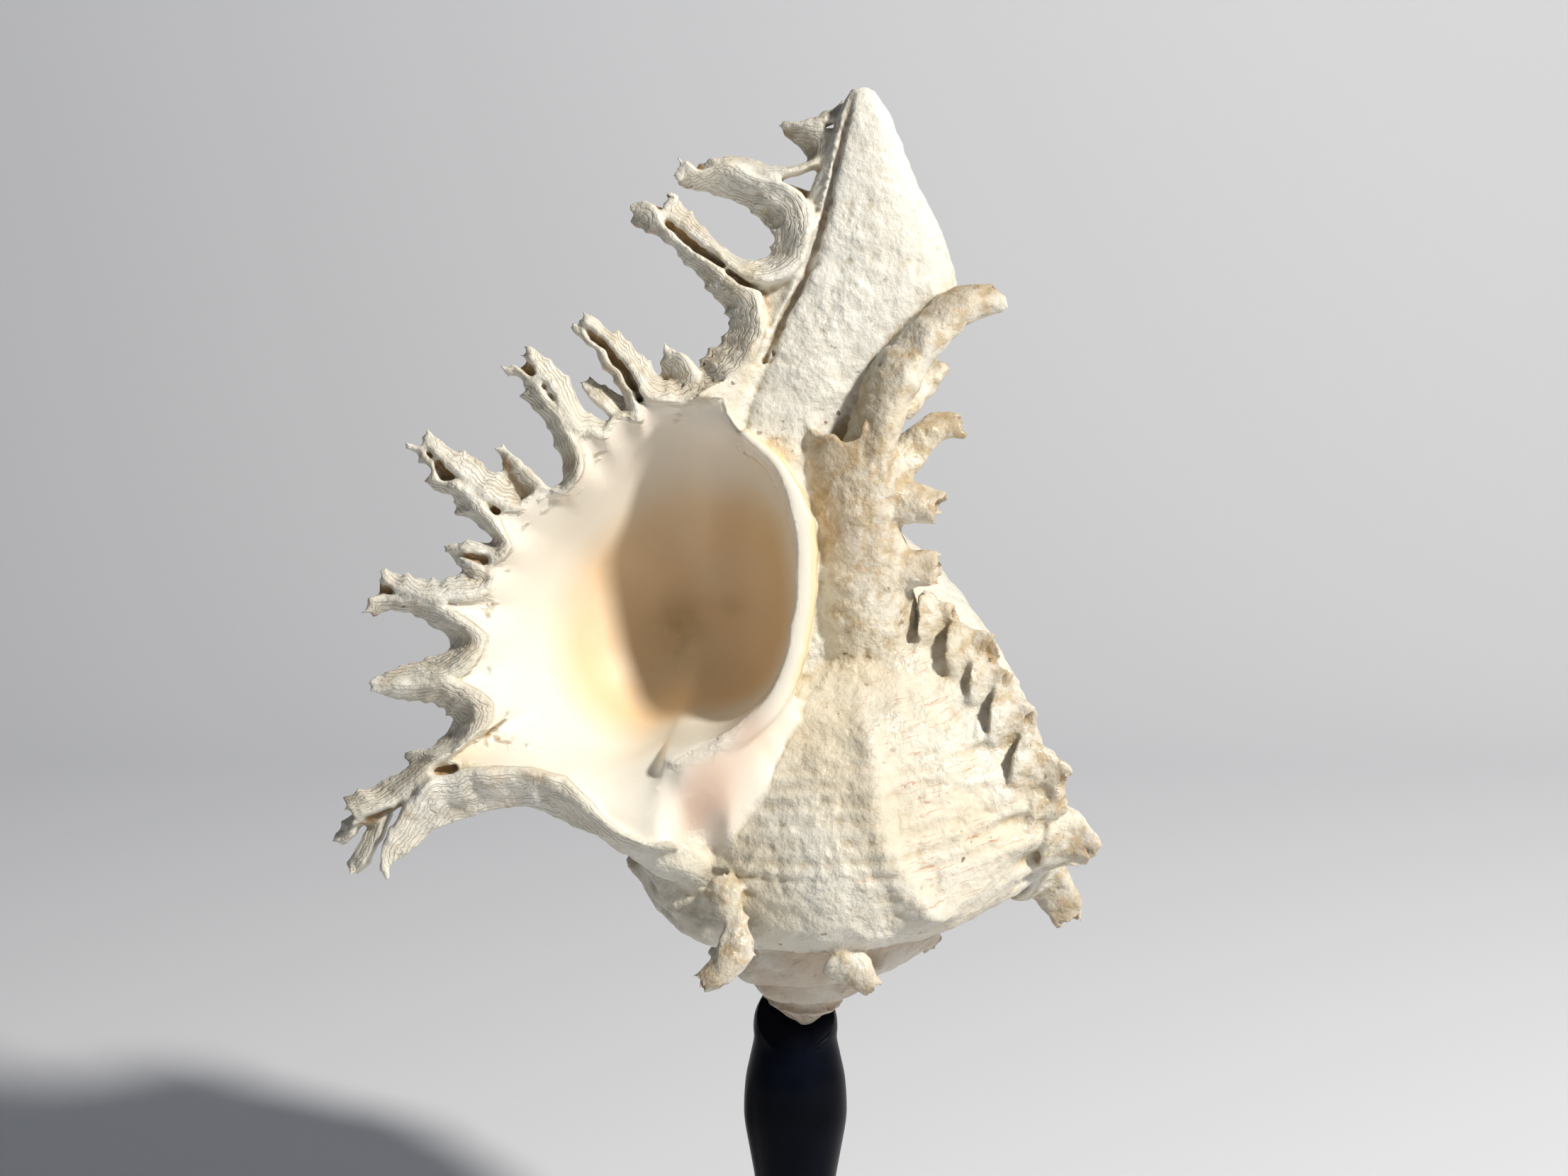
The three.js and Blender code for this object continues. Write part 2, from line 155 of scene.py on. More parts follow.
def through(points, share):
    """Points at shares of the way along a smooth curve through the given points."""
    points = np.asarray(points, float)
    place = np.clip(share, 0, 1) * (len(points) - 1)
    i = np.minimum(place.astype(int), len(points) - 2)
    w = (place - i)[..., None]
    before, start, end, after = (points[np.clip(i + k, 0, len(points) - 1)] for k in (-1, 0, 1, 2))
    leave, arrive = (end - before) / 2, (after - start) / 2
    curved = (2 * start - 2 * end + leave + arrive) * w**3 + (3 * end - 3 * start - 2 * leave - arrive) * w**2
    return curved + leave * w + start


def noise(points, size, seed=0):
    """Smooth random values from -1 to 1 that change over about the given size."""
    place = np.asarray(points, float) / size + 917.3
    cell = np.floor(place).astype(np.int64)
    part = place - cell
    part = part * part * (3 - 2 * part)
    total = np.zeros(len(place))
    for corner in range(8):
        step = np.array([corner & 1, corner >> 1 & 1, corner >> 2 & 1])
        x, y, z = (cell + step).T
        key = (x * 73856093 ^ y * 19349663 ^ z * 83492791 ^ (seed * 2654435 + 97)) & 0xFFFFFFFF
        key = (key ^ key >> 15) * 2246822519 & 0xFFFFFFFF
        key = (key ^ key >> 13) * 3266489917 & 0xFFFFFFFF
        value = (key ^ key >> 16) / 0x7FFFFFFF - 1
        total += value * np.prod(np.where(step, part, 1 - part), axis=1)
    return total


def add_samples(points, kind, mark_a, mark_b):
    """Lets points know their kind of surface and two marks, each given in a shape that spreads to them."""
    spread = [np.broadcast_to(mark, points.shape[:2]).ravel() for mark in (kind, mark_a, mark_b)]
    sample_points.append(points.reshape(-1, 3))
    sample_marks.append(np.column_stack(spread).astype(float))


def add_solid(rings, kind, marks=None):
    """Adds a closed solid through rings of points; given two marks, its points become samples as well."""
    rings = np.asarray(rings, float)
    rows, count = rings.shape[:2]
    first = sum(len(points) for points in solid_points)
    ends = rings[[0, -1]].mean(axis=1)
    solid_points.append(np.vstack([rings.reshape(-1, 3), ends]))
    row, place = np.meshgrid(np.arange(rows - 1), np.arange(count), indexing="ij")
    a = first + row * count + place
    b = first + row * count + (place + 1) % count
    quads = np.stack([a, b, b + count, a + count], axis=-1).reshape(-1, 4)
    solid_faces.extend(quads.tolist())
    last = first + (rows - 1) * count
    low, high = first + rows * count, first + rows * count + 1
    for i in range(count):
        j = (i + 1) % count
        solid_faces.append([first + j, first + i, low])
        solid_faces.append([last + i, last + j, high])
    if marks is not None:
        add_samples(rings, kind, *marks)


def polar(distance, angle, height):
    """About the leaning coiling axis: a distance from it, an angle round it and a height along it."""
    x, y = distance * np.cos(np.radians(angle)), distance * np.sin(np.radians(angle))
    turned_x = x * math.cos(COIL_ROLL) + height * math.sin(COIL_ROLL)
    turned_z = height * math.cos(COIL_ROLL) - x * math.sin(COIL_ROLL)
    return np.stack(np.broadcast_arrays(turned_x, y, turned_z), axis=-1)


def size_at(turn):
    return GROWTH ** (np.asarray(turn, float) / 360)


def slant_at(share):
    return 28 * (1 - smooth(share, 0.15, 0.6))


def whorl_point(turn, share):
    """Point on the outside of the whorls, at a share of the way along their outline."""
    turn, share = np.broadcast_arrays(np.asarray(turn, float), np.asarray(share, float))
    size = size_at(turn)
    outline = through(WHORL_OUTLINE, share)
    distance, height = outline[..., 0], outline[..., 1]
    near = (turn - slant_at(share) + VARIX_STEP / 2) % VARIX_STEP - VARIX_STEP / 2
    ridge = 6.5 * np.exp(-((near / np.where(near > 0, 8, 14)) ** 2))
    from_rib = (turn - slant_at(share) - RIB_PLACE + VARIX_STEP / 2) % VARIX_STEP - VARIX_STEP / 2
    knob = 6.5 * np.exp(-((from_rib / 6) ** 2) - ((share - 0.365) / 0.035) ** 2)
    crest = 3.4 * np.exp(-((from_rib / 4.5) ** 2)) * smooth(share, 0.36, 0.42)
    crest = crest * (1 - smooth(share, 0.7, 0.85))
    cords = 0.6 * np.sin(share * 196) * smooth(share, 0.42, 0.48) * (1 - smooth(share, 0.62, 0.72))
    beats = 0.8 * np.sin(turn * 0.9 + 3 * np.sin(turn * 0.31)) * (1 - smooth(share, 0.02, 0.16))
    pits = sum(np.exp(-(((share - pit) / 0.022) ** 2)) for pit in (0.335, 0.405, 0.50, 0.62, 0.70, 0.76))
    pits = 4.0 * pits * np.exp(-(((near + 9) / 6) ** 2))
    out = (ridge + knob + crest + cords - pits) * smooth(distance, 0, 30)
    drop = 20 * smooth(turn, -200, -10) * smooth(share, -0.05, 0.25) * (1 - smooth(share, 0.3, 0.8))
    narrowed = 1 - 0.07 * smooth(turn, -120, 0)
    return polar((distance * narrowed + out) * size, LIP_ANGLE + turn, (height + drop + beats) * size)


# The whorls, one long horn wound round the axis, with the blunt tip and the pillar that they wind round.
turns = np.arange(OLDEST_TURN, 0.1, 2.5)[:, None]
shares = np.linspace(0, 1, 110)[None, :]
outside = whorl_point(turns, shares)
back_heights = np.linspace(149, 43, 8)[None, 1:-1]
inside = polar(-size_at(turns) * 4, LIP_ANGLE + turns, back_heights * size_at(turns))
add_solid(np.concatenate([outside, inside], axis=1), WHORL)
add_samples(outside, WHORL, turns, shares)
circle = np.linspace(0, 2 * math.pi, 24, endpoint=False)
BLUNT_TIP = [(0.8, 0.3), (2.6, 2), (6, 4.7), (9, 7)]  # radius and height
PILLAR = [(2.5, 4), (5, 50), (9, 136)]
for stations in (BLUNT_TIP, PILLAR):
    add_solid([polar(radius, np.degrees(circle), height) for radius, height in stations], WHORL)

# ---- the mouth: a wide bowl with a smooth porcelain edge, open on its right over a crisp inner edge
mouth_right = np.array((1.0, 0, 0))
mouth_up = np.array((0, math.sin(MOUTH_TILT), math.cos(MOUTH_TILT)))
mouth_out = np.array((0, -math.cos(MOUTH_TILT), math.sin(MOUTH_TILT)))


def in_mouth(x, y, out):
    """Point of the mouth plane x to the right and y up from its middle, and out from the plane."""
    x, y, out = (np.asarray(value, float)[..., None] for value in np.broadcast_arrays(x, y, out))
    return MOUTH + x * mouth_right + y * mouth_up + out * mouth_out


MOUTH_EDGE = np.array([  # x, y of the inner edge on the right, then of the porcelain's edge
    (-4, -33), (2, -30), (7, -28), (12, -24), (17, -19), (19, -15), (21, -6), (22, 4), (21, 16), (18, 25),
    (12, 30), (7, 37.5), (4.7, 38.7), (0, 37.8), (-3.4, 37.8), (-6, 38.1), (-7.5, 37.8), (-8.1, 33.9),
    (-10.1, 34.8), (-12.7, 35.1), (-14.2, 33.2), (-14.9, 30.7), (-18.2, 32.5), (-20.8, 31.8),
    (-19.3, 27.7), (-18.9, 25.1), (-19.7, 22.9), (-21.2, 21.4), (-23, 19.9), (-24.9, 20.3), (-27, 21),
    (-28.5, 20), (-30.4, 18.4), (-31.7, 17.1), (-35, 16), (-33.9, 11.6), (-32.8, 9.5), (-34.7, 7.3),
    (-37.3, 6.1), (-37.1, 4.6), (-36.8, 2.7), (-38.3, 0.6), (-40, -0.8), (-45, -2), (-39.6, -5.9),
    (-37.3, -8), (-38.5, -11), (-41, -14.5), (-42.5, -15.5), (-41, -17.5), (-38, -19), (-36, -21),
    (-36.3, -23.5), (-38, -26.5), (-41, -29.8), (-47, -33.6), (-44.2, -34), (-40.7, -33.1), (-35, -33),
    (-28, -33.3), (-22, -35), (-17.5, -39.5), (-14.5, -43), (-11, -46), (-6, -47.6),
])
FOLD_ANGLE = 262.9  # where the bowl's outer edge and the inner edge meet in a fold
edge_angles = (np.degrees(np.arctan2(MOUTH_EDGE[:, 1], MOUTH_EDGE[:, 0])) + 360 - FOLD_ANGLE) % 360
edge_order = np.argsort(edge_angles)
mouth_angles = np.linspace(0.4, 359.8, 260) + FOLD_ANGLE
mouth_radii = np.interp(mouth_angles - FOLD_ANGLE, edge_angles[edge_order],
                        np.hypot(*MOUTH_EDGE[edge_order].T))
turned_by = mouth_angles - FOLD_ANGLE
on_right = 1 - smooth(turned_by, 150, 182)  # the inner edge, where the mouth drops straight in
mouth_cos, mouth_sin = np.cos(np.radians(mouth_angles)), np.sin(np.radians(mouth_angles))
# Further in, the bowl is only as wide as the narrowest of the edge close by, smoothed.
held = np.concatenate([mouth_radii] * 3)
held = np.min([np.roll(held, step) for step in range(-7, 8)], axis=0)
spread = np.exp(-(np.linspace(-2, 2, 41) ** 2))
wide_radii = np.convolve(held, spread / spread.sum(), "same")[len(mouth_radii):-len(mouth_radii)]
drops = on_right * smooth(turned_by, 0, 60)  # where the wall drops straight in, rather than slopes
BOWL_WIDEST = 44
wide_radii = np.minimum(wide_radii, BOWL_WIDEST) * (1 - drops) + np.minimum(mouth_radii, wide_radii) * drops
by_fold = smooth(turned_by, 330, 360) + 1 - smooth(turned_by, 0, 30)  # one at the fold, fading on both sides
BOWL_MIDDLE, BOWL_DEPTH = (3, -2), 36
PLEATED_SHARE = 0.3  # the pleats of the edge fade out over this share of the way in


def bowl_ring(share, grow=0.0):
    """Ring of the bowl's surface at a share of the way in, or of the outside of its wall."""
    def ring(radius, level, drift=0.0):
        x = BOWL_MIDDLE[0] * drift + (radius + grow) * mouth_cos
        return in_mouth(x, BOWL_MIDDLE[1] * drift + (radius + grow) * mouth_sin, level)

    pleated = (1 - min(share / PLEATED_SHARE, 1)) ** 1.5
    edge = ring(wide_radii + (mouth_radii - wide_radii) * pleated, 0.3 + 1.0 * on_right - 0.75 * grow)
    leave = ring(wide_radii * (0.85 + 0.19 * drops), -11 - 5 * drops + 5.5 * by_fold - grow)
    arrive = ring(wide_radii * (0.70 + 0.35 * drops), -BOWL_DEPTH + 2 - grow, 0.6)
    middle_ring = ring(2.0, -BOWL_DEPTH - grow, 1.0)
    rest = 1 - share
    outer_part = rest**3 * edge + 3 * rest**2 * share * leave
    return outer_part + 3 * rest * share**2 * arrive + share**3 * middle_ring


CLEAR_OF_MOUTH = 16  # the cut starts this far out in front of the mouth
EDGE_WALL = 0.9  # the wall thins to this at the edge
bowl_shares = np.linspace(0, 1, 40)
bowl_rings = [in_mouth(mouth_radii * mouth_cos, mouth_radii * mouth_sin, CLEAR_OF_MOUTH)]
bowl_rings = np.array(bowl_rings + [bowl_ring(share) for share in bowl_shares])
bowl_depths = np.concatenate([[0], 100 * bowl_shares])
wall_rings = [bowl_ring(share, WALL) for share in np.linspace(0, 1, 20)]
wall_rings[0] = bowl_ring(0, EDGE_WALL)
add_solid(wall_rings, LIP, (0, 0))


def resampled(line, shares):
    """Points at shares of the length of a smooth line through the given points."""
    dense = through(line, np.linspace(0, 1, 30 * len(line)))
    lengths = np.concatenate([[0], np.cumsum(np.linalg.norm(np.diff(dense[:, :2], axis=0), axis=1))])
    return np.column_stack([np.interp(shares * lengths[-1], lengths, column) for column in dense.T])


# The inner lip stands up along the right of the mouth as a narrow flat band.
BAND_INNER = [(11, 31.5), (17, 26), (20, 20), (21.3, 12), (21.8, 4), (21, -6), (19, -15), (15.5, -21),
              (10, -25.5), (4, -29.3), (-1, -31.6)]
BAND_OUTER = [(12.8, 33), (19.5, 27), (23.5, 20.5), (26, 14), (26.6, 6), (25.9, -3), (24, -12), (21, -20),
              (16, -26), (9, -31), (3, -34)]
BAND_TOP = [(0, 0), (0.2, 0.5), (0.6, 0.45), (0.92, 0.1), (1, -0.6)]  # share of the way out, height
BAND_ROOT = [(1.05, -6), (0.9, -16), (0.2, -20), (-0.1, -20), (-0.05, -8)]
shares = np.linspace(0, 1, 150)
inner, outer = resampled(BAND_INNER, shares), resampled(BAND_OUTER, shares)
outer = outer + 0.35 * noise(outer[:, [0, 1, 1]], 2.5, 31)[:, None]
band_height = 1.6 - 1.2 * smooth(shares, 0.72, 0.9) - 2.2 * smooth(shares, 0.86, 1)
rows = []
for share, height in BAND_TOP + BAND_ROOT:
    flat = inner + (outer - inner) * share
    rows.append(in_mouth(flat[:, 0], flat[:, 1], band_height + height))
band_rows = np.stack(rows, axis=1)
add_solid(band_rows, CALLUS)
add_samples(band_rows[:, :5], CALLUS, np.array(BAND_TOP)[None, :, 0], shares[:, None])
add_samples(band_rows[:, 5:7], CALLUS, 1.0, shares[:, None])

# Below the mouth the porcelain rolls down over the last whorl and thins out on it.
ROLL_TOP_LEVEL, ROLL_HIDDEN = 0.6, (-22, -24, -22)  # out from the mouth plane
ROLL_TOP = [(21, -19), (15.5, -23), (10, -26.5), (4, -29.8), (-0.5, -31.8), (-5, -33.4)]
ROLL_FOOT = [(23.5, -20, -11), (23, -33, -11.5), (18.5, -45, -11), (12, -54, -12), (4, -58, -15),
             (-6, -52, -16)]
ON_ROLL = 2  # marks on the roll start from this, and marks on the band end at one
top = resampled([(x, y, ROLL_TOP_LEVEL) for x, y in ROLL_TOP], shares)
foot = resampled(ROLL_FOOT, shares)
foot = foot + 1.2 * noise(foot[:, [0, 1, 1]], 6.0, 32)[:, None]
down = np.concatenate([np.linspace(0, 1, 14), [1, 0.5, 0]])
flat = top[:, None, :2] * (1 - down[None, :, None]) + foot[:, None, :2] * down[None, :, None]
roll_shape = down[None, :] ** (0.7 + 0.9 * smooth(shares, 0.1, 0.7))[:, None]
roll_height = top[:, None, 2] + (foot[:, None, 2] - top[:, None, 2]) * roll_shape
# At its left end the roll lies on the flare, at the flare's own level.
flare_level = np.interp(down, (0, 0.3, 0.65, 0.78, 1), (-3.5, -0.6, 0.9, -0.5, -16))
at_end = smooth(shares, 0.80, 0.99)[:, None]
roll_height = roll_height * (1 - at_end) + flare_level[None, :] * at_end
roll_x, roll_y = flat[..., 0], flat[..., 1]
crease = np.exp(-(((roll_x - 9.3 - 0.05 * (roll_y + 45)) / 1.2) ** 2)) * smooth(-roll_y, 38, 46)
dimple = np.exp(-(((roll_x - 4.5) / 4) ** 2) - ((roll_y + 47) / 7) ** 2)
roll_height = roll_height + 0.9 * crease - 2.2 * dimple
roll_height[:, -3:] = ROLL_HIDDEN
roll_rows = in_mouth(roll_x, roll_y, roll_height)
add_solid(roll_rows, CALLUS)
add_samples(roll_rows[:, :-3], CALLUS, ON_ROLL + down[None, :-3], shares[:, None])

# ---- the canal, a flattened blade with a narrow slit down the left of its front
CANAL_STATIONS = [  # height, left edge, right edge, middle y, half depth
    (50, 2, 12, -6, 14), (88, -14, 14, -2, 14), (112, -17, 9, -4, 12), (132, -16, 8, -5, 9),
    (145, -12.5, 19, -3, 8), (158, -8, 30, 0, 8), (170, -2.5, 28, 2, 7.5), (184, 3, 21, 3, 6),
    (193, 6.3, 17.6, 3, 4.4), (197.4, 8.4, 14.6, 3, 3), (199.2, 10.4, 12.6, 3, 1.2),
]
SLIT = [  # height and x
    (96, -13.5), (136, -11.6), (143, -9), (149, -7), (156, -4), (163, 0), (170, 2.6), (178, 4.8), (186, 6.5),
    (194, 8.2), (199, 9.5),
]
CANAL_SECTION = [  # share of the half width, where -0.75 to -0.65 is the slit, and share of the half depth
    (1, 0), (0.93, -0.4), (0.75, -0.7), (0.45, -0.92), (0.1, -1), (-0.3, -1), (-0.55, -0.97), (-0.64, -0.9),
    (-0.65, -0.85), (-0.65, -0.7), (-0.655, -0.55), (-0.745, -0.55), (-0.75, -0.62), (-0.75, -0.74),
    (-0.79, -0.78), (-0.84, -0.62), (-0.92, -0.5), (-1.0, -0.45), (-1.02, -0.1), (-1.0, 0.25), (-0.9, 0.5),
    (-0.6, 0.82), (0, 1), (0.5, 0.9), (0.85, 0.5),
]
canal_rows = np.linspace(0, 1, 260)
canal_at = through(CANAL_STATIONS, canal_rows)
section = np.array(CANAL_SECTION + CANAL_SECTION[:1], float)
section_steps = np.linspace(0, len(section) - 1, 150, endpoint=False)
section = np.column_stack([np.interp(section_steps, np.arange(len(section)), section[:, k]) for k in (0, 1)])
height, left, right, canal_y, half_depth = canal_at.T
slit_x = np.interp(height, *np.array(SLIT).T)
rough_line = np.column_stack([height, height * 0, height * 0])
slit_right = slit_x + 0.6 + 0.15 * noise(rough_line, 3.0, 5) + 0.08 * noise(rough_line, 1.3, 6)
slit_left = slit_x - 0.6 + 0.1 * noise(rough_line, 4.0, 7)
canal_x = np.stack([np.interp(section[:, 0], (-1.02, -0.75, -0.65, 1), edges)
                    for edges in np.column_stack([left, slit_left, slit_right, right])])
canal_points = np.stack([canal_x, canal_y[:, None] + section[None, :, 1] * half_depth[:, None],
                         np.broadcast_to(height[:, None], canal_x.shape)], axis=-1)
in_slit = (section[:, 0] > -0.8) & (section[:, 0] < -0.645) & (section[:, 1] > -0.74) & (section[:, 1] < 0.35)
add_solid(canal_points, CANAL, (in_slit[None, :] * 1.0, height[:, None]))

# ---- the outer lip's edge: thin strips of shell, each between the channel of a frond and an open gap
STRIPS = [  # edge on the channel's side, edge on the gap's side, level, and which ends are tips
    ([(32.6, 97), (30, 94), (26, 93), (21.5, 93.2)],
     [(31.5, 99), (29, 96.5), (25, 94.8), (20.4, 93.8)], 0, "end"),
    ([(21.5, 94), (25, 93.5), (28.7, 92), (29.3, 88.8), (27.5, 86), (23.5, 83.8), (18, 82.6), (14, 84),
      (10, 85.3), (5.5, 85)],
     [(20.4, 93.3), (22, 90.5), (23.6, 88.3), (24.7, 86.7), (23.8, 85.6), (20.5, 85.4), (17, 85.6),
      (13.5, 87), (9.5, 87.6), (4.9, 86.3)], 0, "both"),
    ([(0.8, 85.9), (3, 84.3), (5.3, 84.6), (9.9, 85.8), (13.6, 83.7), (16.4, 82.4), (20.1, 81.6),
      (22.8, 79.8), (25.2, 77.4), (25.8, 74.6), (25.6, 71.8), (25, 68.6), (23.3, 64.8), (21.4, 63),
      (17.7, 61.4), (15.3, 61.2), (12.6, 62.1), (9.8, 64), (7, 66.8), (3.7, 69.1), (-1, 73), (-4.9, 75.6)],
     [(-1.6, 81.6), (2.8, 80.6), (6, 80.1), (9.3, 78.8), (12.5, 77.4), (15.3, 75.1), (17.6, 72.3),
      (17.9, 70.4), (17.2, 68.1), (15.3, 66.7), (12, 66.7), (9.3, 68.5), (6.8, 69.9), (4.7, 72.7),
      (1.4, 76.6), (-1.2, 79.2)], 0.5, "both"),
    ([(-7.5, 78.4), (-5.2, 76.6), (-3.8, 73.7), (-1, 70.7), (1.4, 68.6), (5.6, 65.8), (8.8, 63),
      (11.6, 60.9), (14.9, 59.8), (15.9, 57.9), (16.4, 54.6), (16.2, 51.3), (15.4, 49), (14, 46.2),
      (11.7, 43.4), (8.4, 40.6), (5.5, 38.6)],
     [(-10.9, 74.2), (-7.6, 72.4), (-4.3, 70.5), (-1.8, 68.6), (0.8, 65.6), (3.1, 63.5), (5, 60.7),
      (7.3, 57.9), (9.2, 55.6), (9.4, 54.2), (8.2, 51.4), (6.8, 49.7), (5, 48.8), (3.5, 46.2),
      (3.2, 43.7), (1, 42)], 0.5, "start"),
    ([(8, 39.5), (4.7, 38.4), (0, 37.6), (-4, 37.4), (-6.8, 38.4), (-7.9, 40.3), (-9.4, 42.9),
      (-11.2, 45.5), (-13.4, 48.1), (-16, 51.1), (-19.4, 53.7)],
     [(5, 44), (3.4, 42.9), (0.5, 41.4), (-2.5, 42), (-4.6, 43.7), (-6.1, 45.6), (-8.3, 47.8),
      (-10.1, 50), (-12.3, 52), (-14.2, 52.6), (-17.9, 55.8)], 0, "end"),
    ([(3.5, 37), (3.4, 43.7), (1.3, 47.4), (-0.9, 48.5)],
     [(-5, 37), (-4.6, 43.7), (-4.2, 47), (-3.8, 48.7)], -2.5, "end"),
    ([(-20, 53), (-17.9, 50.4), (-14.9, 47.8), (-14.2, 45.9), (-12, 44), (-10.9, 41.5), (-9.4, 39.6),
      (-8.6, 37.7), (-8.2, 34.2)],
     [(-21.2, 52.8), (-19.9, 50.6), (-16.4, 47.8), (-16.6, 46.3), (-14.2, 43.7), (-12.9, 41.6),
      (-11.4, 38), (-11.2, 35)], -0.5, "start"),
    ([(-9, 34), (-13, 34.8), (-17, 38), (-20, 41.5)],
     [(-9.4, 37), (-12.7, 40.7), (-15, 41.7), (-17.5, 43)], -2.5, "end"),
    ([(-15.5, 31), (-18.5, 31.6), (-20.8, 31.8), (-22.3, 34.4), (-24.1, 37.7), (-26, 40.7), (-28.5, 43.7),
      (-30.4, 47)],
     [(-15, 35), (-18.5, 36.5), (-21.4, 40.8), (-22.3, 43.3), (-25.2, 45.9), (-27.8, 48.1), (-29.3, 49.4)],
     0, "end"),
    ([(-33.5, 45.9), (-30.7, 43.7), (-28.5, 42.2), (-26.7, 40), (-24.8, 37.4), (-23, 34.8), (-21.5, 31.8),
      (-19.3, 27.7), (-18.9, 25.1), (-19.7, 22.9), (-21.2, 21.4), (-23, 19.9), (-24.9, 20.3)],
     [(-34.8, 43.3), (-33, 43.3), (-30.4, 41.1), (-31.6, 39.4), (-29.3, 37), (-27.1, 34.4), (-25.8, 32.2),
      (-25.2, 29.9), (-23.9, 27.7), (-23.4, 25.1), (-23.6, 23), (-25, 22.2)], 0, "start"),
    ([(-25, 20), (-28, 23.4), (-32, 26.6), (-35.3, 29.8)],
     [(-32.2, 17.2), (-33, 20.5), (-34.8, 24), (-36, 27.5)], -2, "end"),
    ([(-31.3, 17.1), (-32.5, 16.9), (-35, 17.3), (-37.1, 18.1), (-39.6, 19.6), (-42, 22.1), (-44.5, 23.9),
      (-46.6, 26), (-48.8, 27.9), (-50.3, 30.6)],
     [(-32.2, 19.4), (-34.2, 22.4), (-34.7, 23.3), (-36.5, 24.5), (-39, 26), (-41.4, 27.9), (-44.8, 29.1),
      (-47.2, 30.6), (-49.4, 31.4)], 0, "end"),
    ([(-52.8, 29), (-50.9, 29.4), (-50, 27.9), (-48.5, 26), (-47.2, 22.7), (-43.9, 22.4), (-41.4, 20.5),
      (-39, 18.4), (-36.8, 16.2), (-35, 13.8), (-33.9, 11.6), (-32.8, 9.9), (-34.7, 7.3), (-37.1, 6.1)],
     [(-52.8, 28.8), (-51.2, 26.5), (-49.2, 24.5), (-50, 22.4), (-48.2, 20.8), (-45.4, 19.9),
      (-44.2, 18.4), (-44.7, 16.3), (-42, 15.6), (-39.9, 14.1), (-38.3, 12.5), (-37.3, 11.3), (-37.9, 8.6)],
     0, "start"),
    ([(-36.6, 7.6), (-39, 8.2), (-42, 8.6), (-45.2, 9)],
     [(-36.6, 11.2), (-38.7, 11), (-41.6, 11.2), (-44.5, 10.2)], -0.8, "end"),
    ([(-36.8, 5), (-39, 6), (-41.1, 7), (-44, 7.8)],
     [(-37.8, 0.8), (-41, 1.5), (-41.3, 3.4), (-43.9, 6.6)], -0.8, "end"),
    ([(-58, 2.4), (-55.2, 0.9), (-51.8, -0.3), (-48.2, -1.3), (-45.7, -1.1), (-42, -0.8), (-39.6, -0.5),
      (-37.4, 0.8)],
     [(-58.1, 5.5), (-55.2, 4.6), (-52.8, 4.1), (-50, 3.7), (-48.5, 2.9), (-45.7, 3.7), (-42, 4.6),
      (-38.4, 4)], 0, "start"),
    ([(-61, 0), (-56.7, 0.3), (-53.4, -0.3), (-49.7, -0.9), (-45.7, -2.2), (-42, -4.3), (-39.6, -5.9),
      (-37.3, -8), (-38.5, -11), (-41, -14.5), (-44, -16), (-50, -16.3), (-59, -17.5)],
     [(-60.5, -4.5), (-58, -3), (-54, -3), (-51.5, -4.2), (-49, -5.5), (-46.5, -7.5), (-45.5, -9.5),
      (-47, -11), (-50, -12), (-53, -13), (-56, -14), (-59.5, -15.8)], 0, "both"),
    ([(-59, -17), (-50, -16.5), (-44, -16.5), (-41, -17.5), (-38, -19), (-36, -21), (-36.3, -23.5),
      (-38, -26.5), (-41, -29.8), (-45, -31.5), (-47.1, -33), (-48.7, -34.6), (-50.3, -36.8),
      (-52.2, -38.4), (-55.1, -40.3), (-58.3, -41.9), (-62.5, -43.2)],
     [(-59, -18.5), (-57, -20), (-53, -20.5), (-48, -21), (-45.5, -22.5), (-44.8, -24.5), (-46.5, -27),
      (-49, -29.5), (-52, -30), (-54.3, -30.8), (-52.9, -32.9), (-54.5, -33.9), (-56.7, -35.2),
      (-59.9, -36.6), (-63.1, -37.9), (-66.3, -38.9)], 0.5, "both"),
    ([(0, -48.4), (-8, -46.6), (-14.5, -43), (-17.5, -39.5), (-22, -35), (-28, -33.3), (-35, -33),
      (-40.7, -33.1), (-44.2, -34.5), (-49, -35), (-51.6, -39), (-53.5, -40.9), (-54.8, -43.2),
      (-56.7, -46.3), (-58, -49.8), (-57.4, -52.8)],
     [(-1, -50.2), (-9, -48.8), (-15, -47), (-21, -45), (-27, -42), (-31, -41.2), (-36, -41.8),
      (-43.9, -44.1), (-48.4, -46.3), (-51.3, -48.9), (-55.1, -51.7), (-57, -54)], 1, "end"),
    ([(-56.5, -42), (-57.7, -46), (-59.6, -49.6), (-61.5, -52.6)],
     [(-61, -43), (-62.6, -47), (-64.5, -50.5), (-65.2, -53.6)], -3, "end"),
    ([(-60.5, -43), (-62.5, -45), (-65.5, -48.2)],
     [(-64.5, -42), (-66.5, -44), (-67.5, -47)], -3.5, "end"),
]
SMOOTH_STRIP = 18  # the long lowest strip, which has no spikes
STRIP_UNDERSIDE = [  # share of the way across, slope and thickness
    (1.0, 0.44, 1.3), (0.8, 0.46, 2.0), (0.5, 0.42, 2.6), (0.2, 0.3, 2.9), (0.0, 0.2, 2.5),
]
STRIP_TOP = [(0, 0), (0.04, 0.08), (0.14, 0.15), (0.35, 0.08), (0.6, -0.12), (0.85, -0.34), (1, -0.42)]
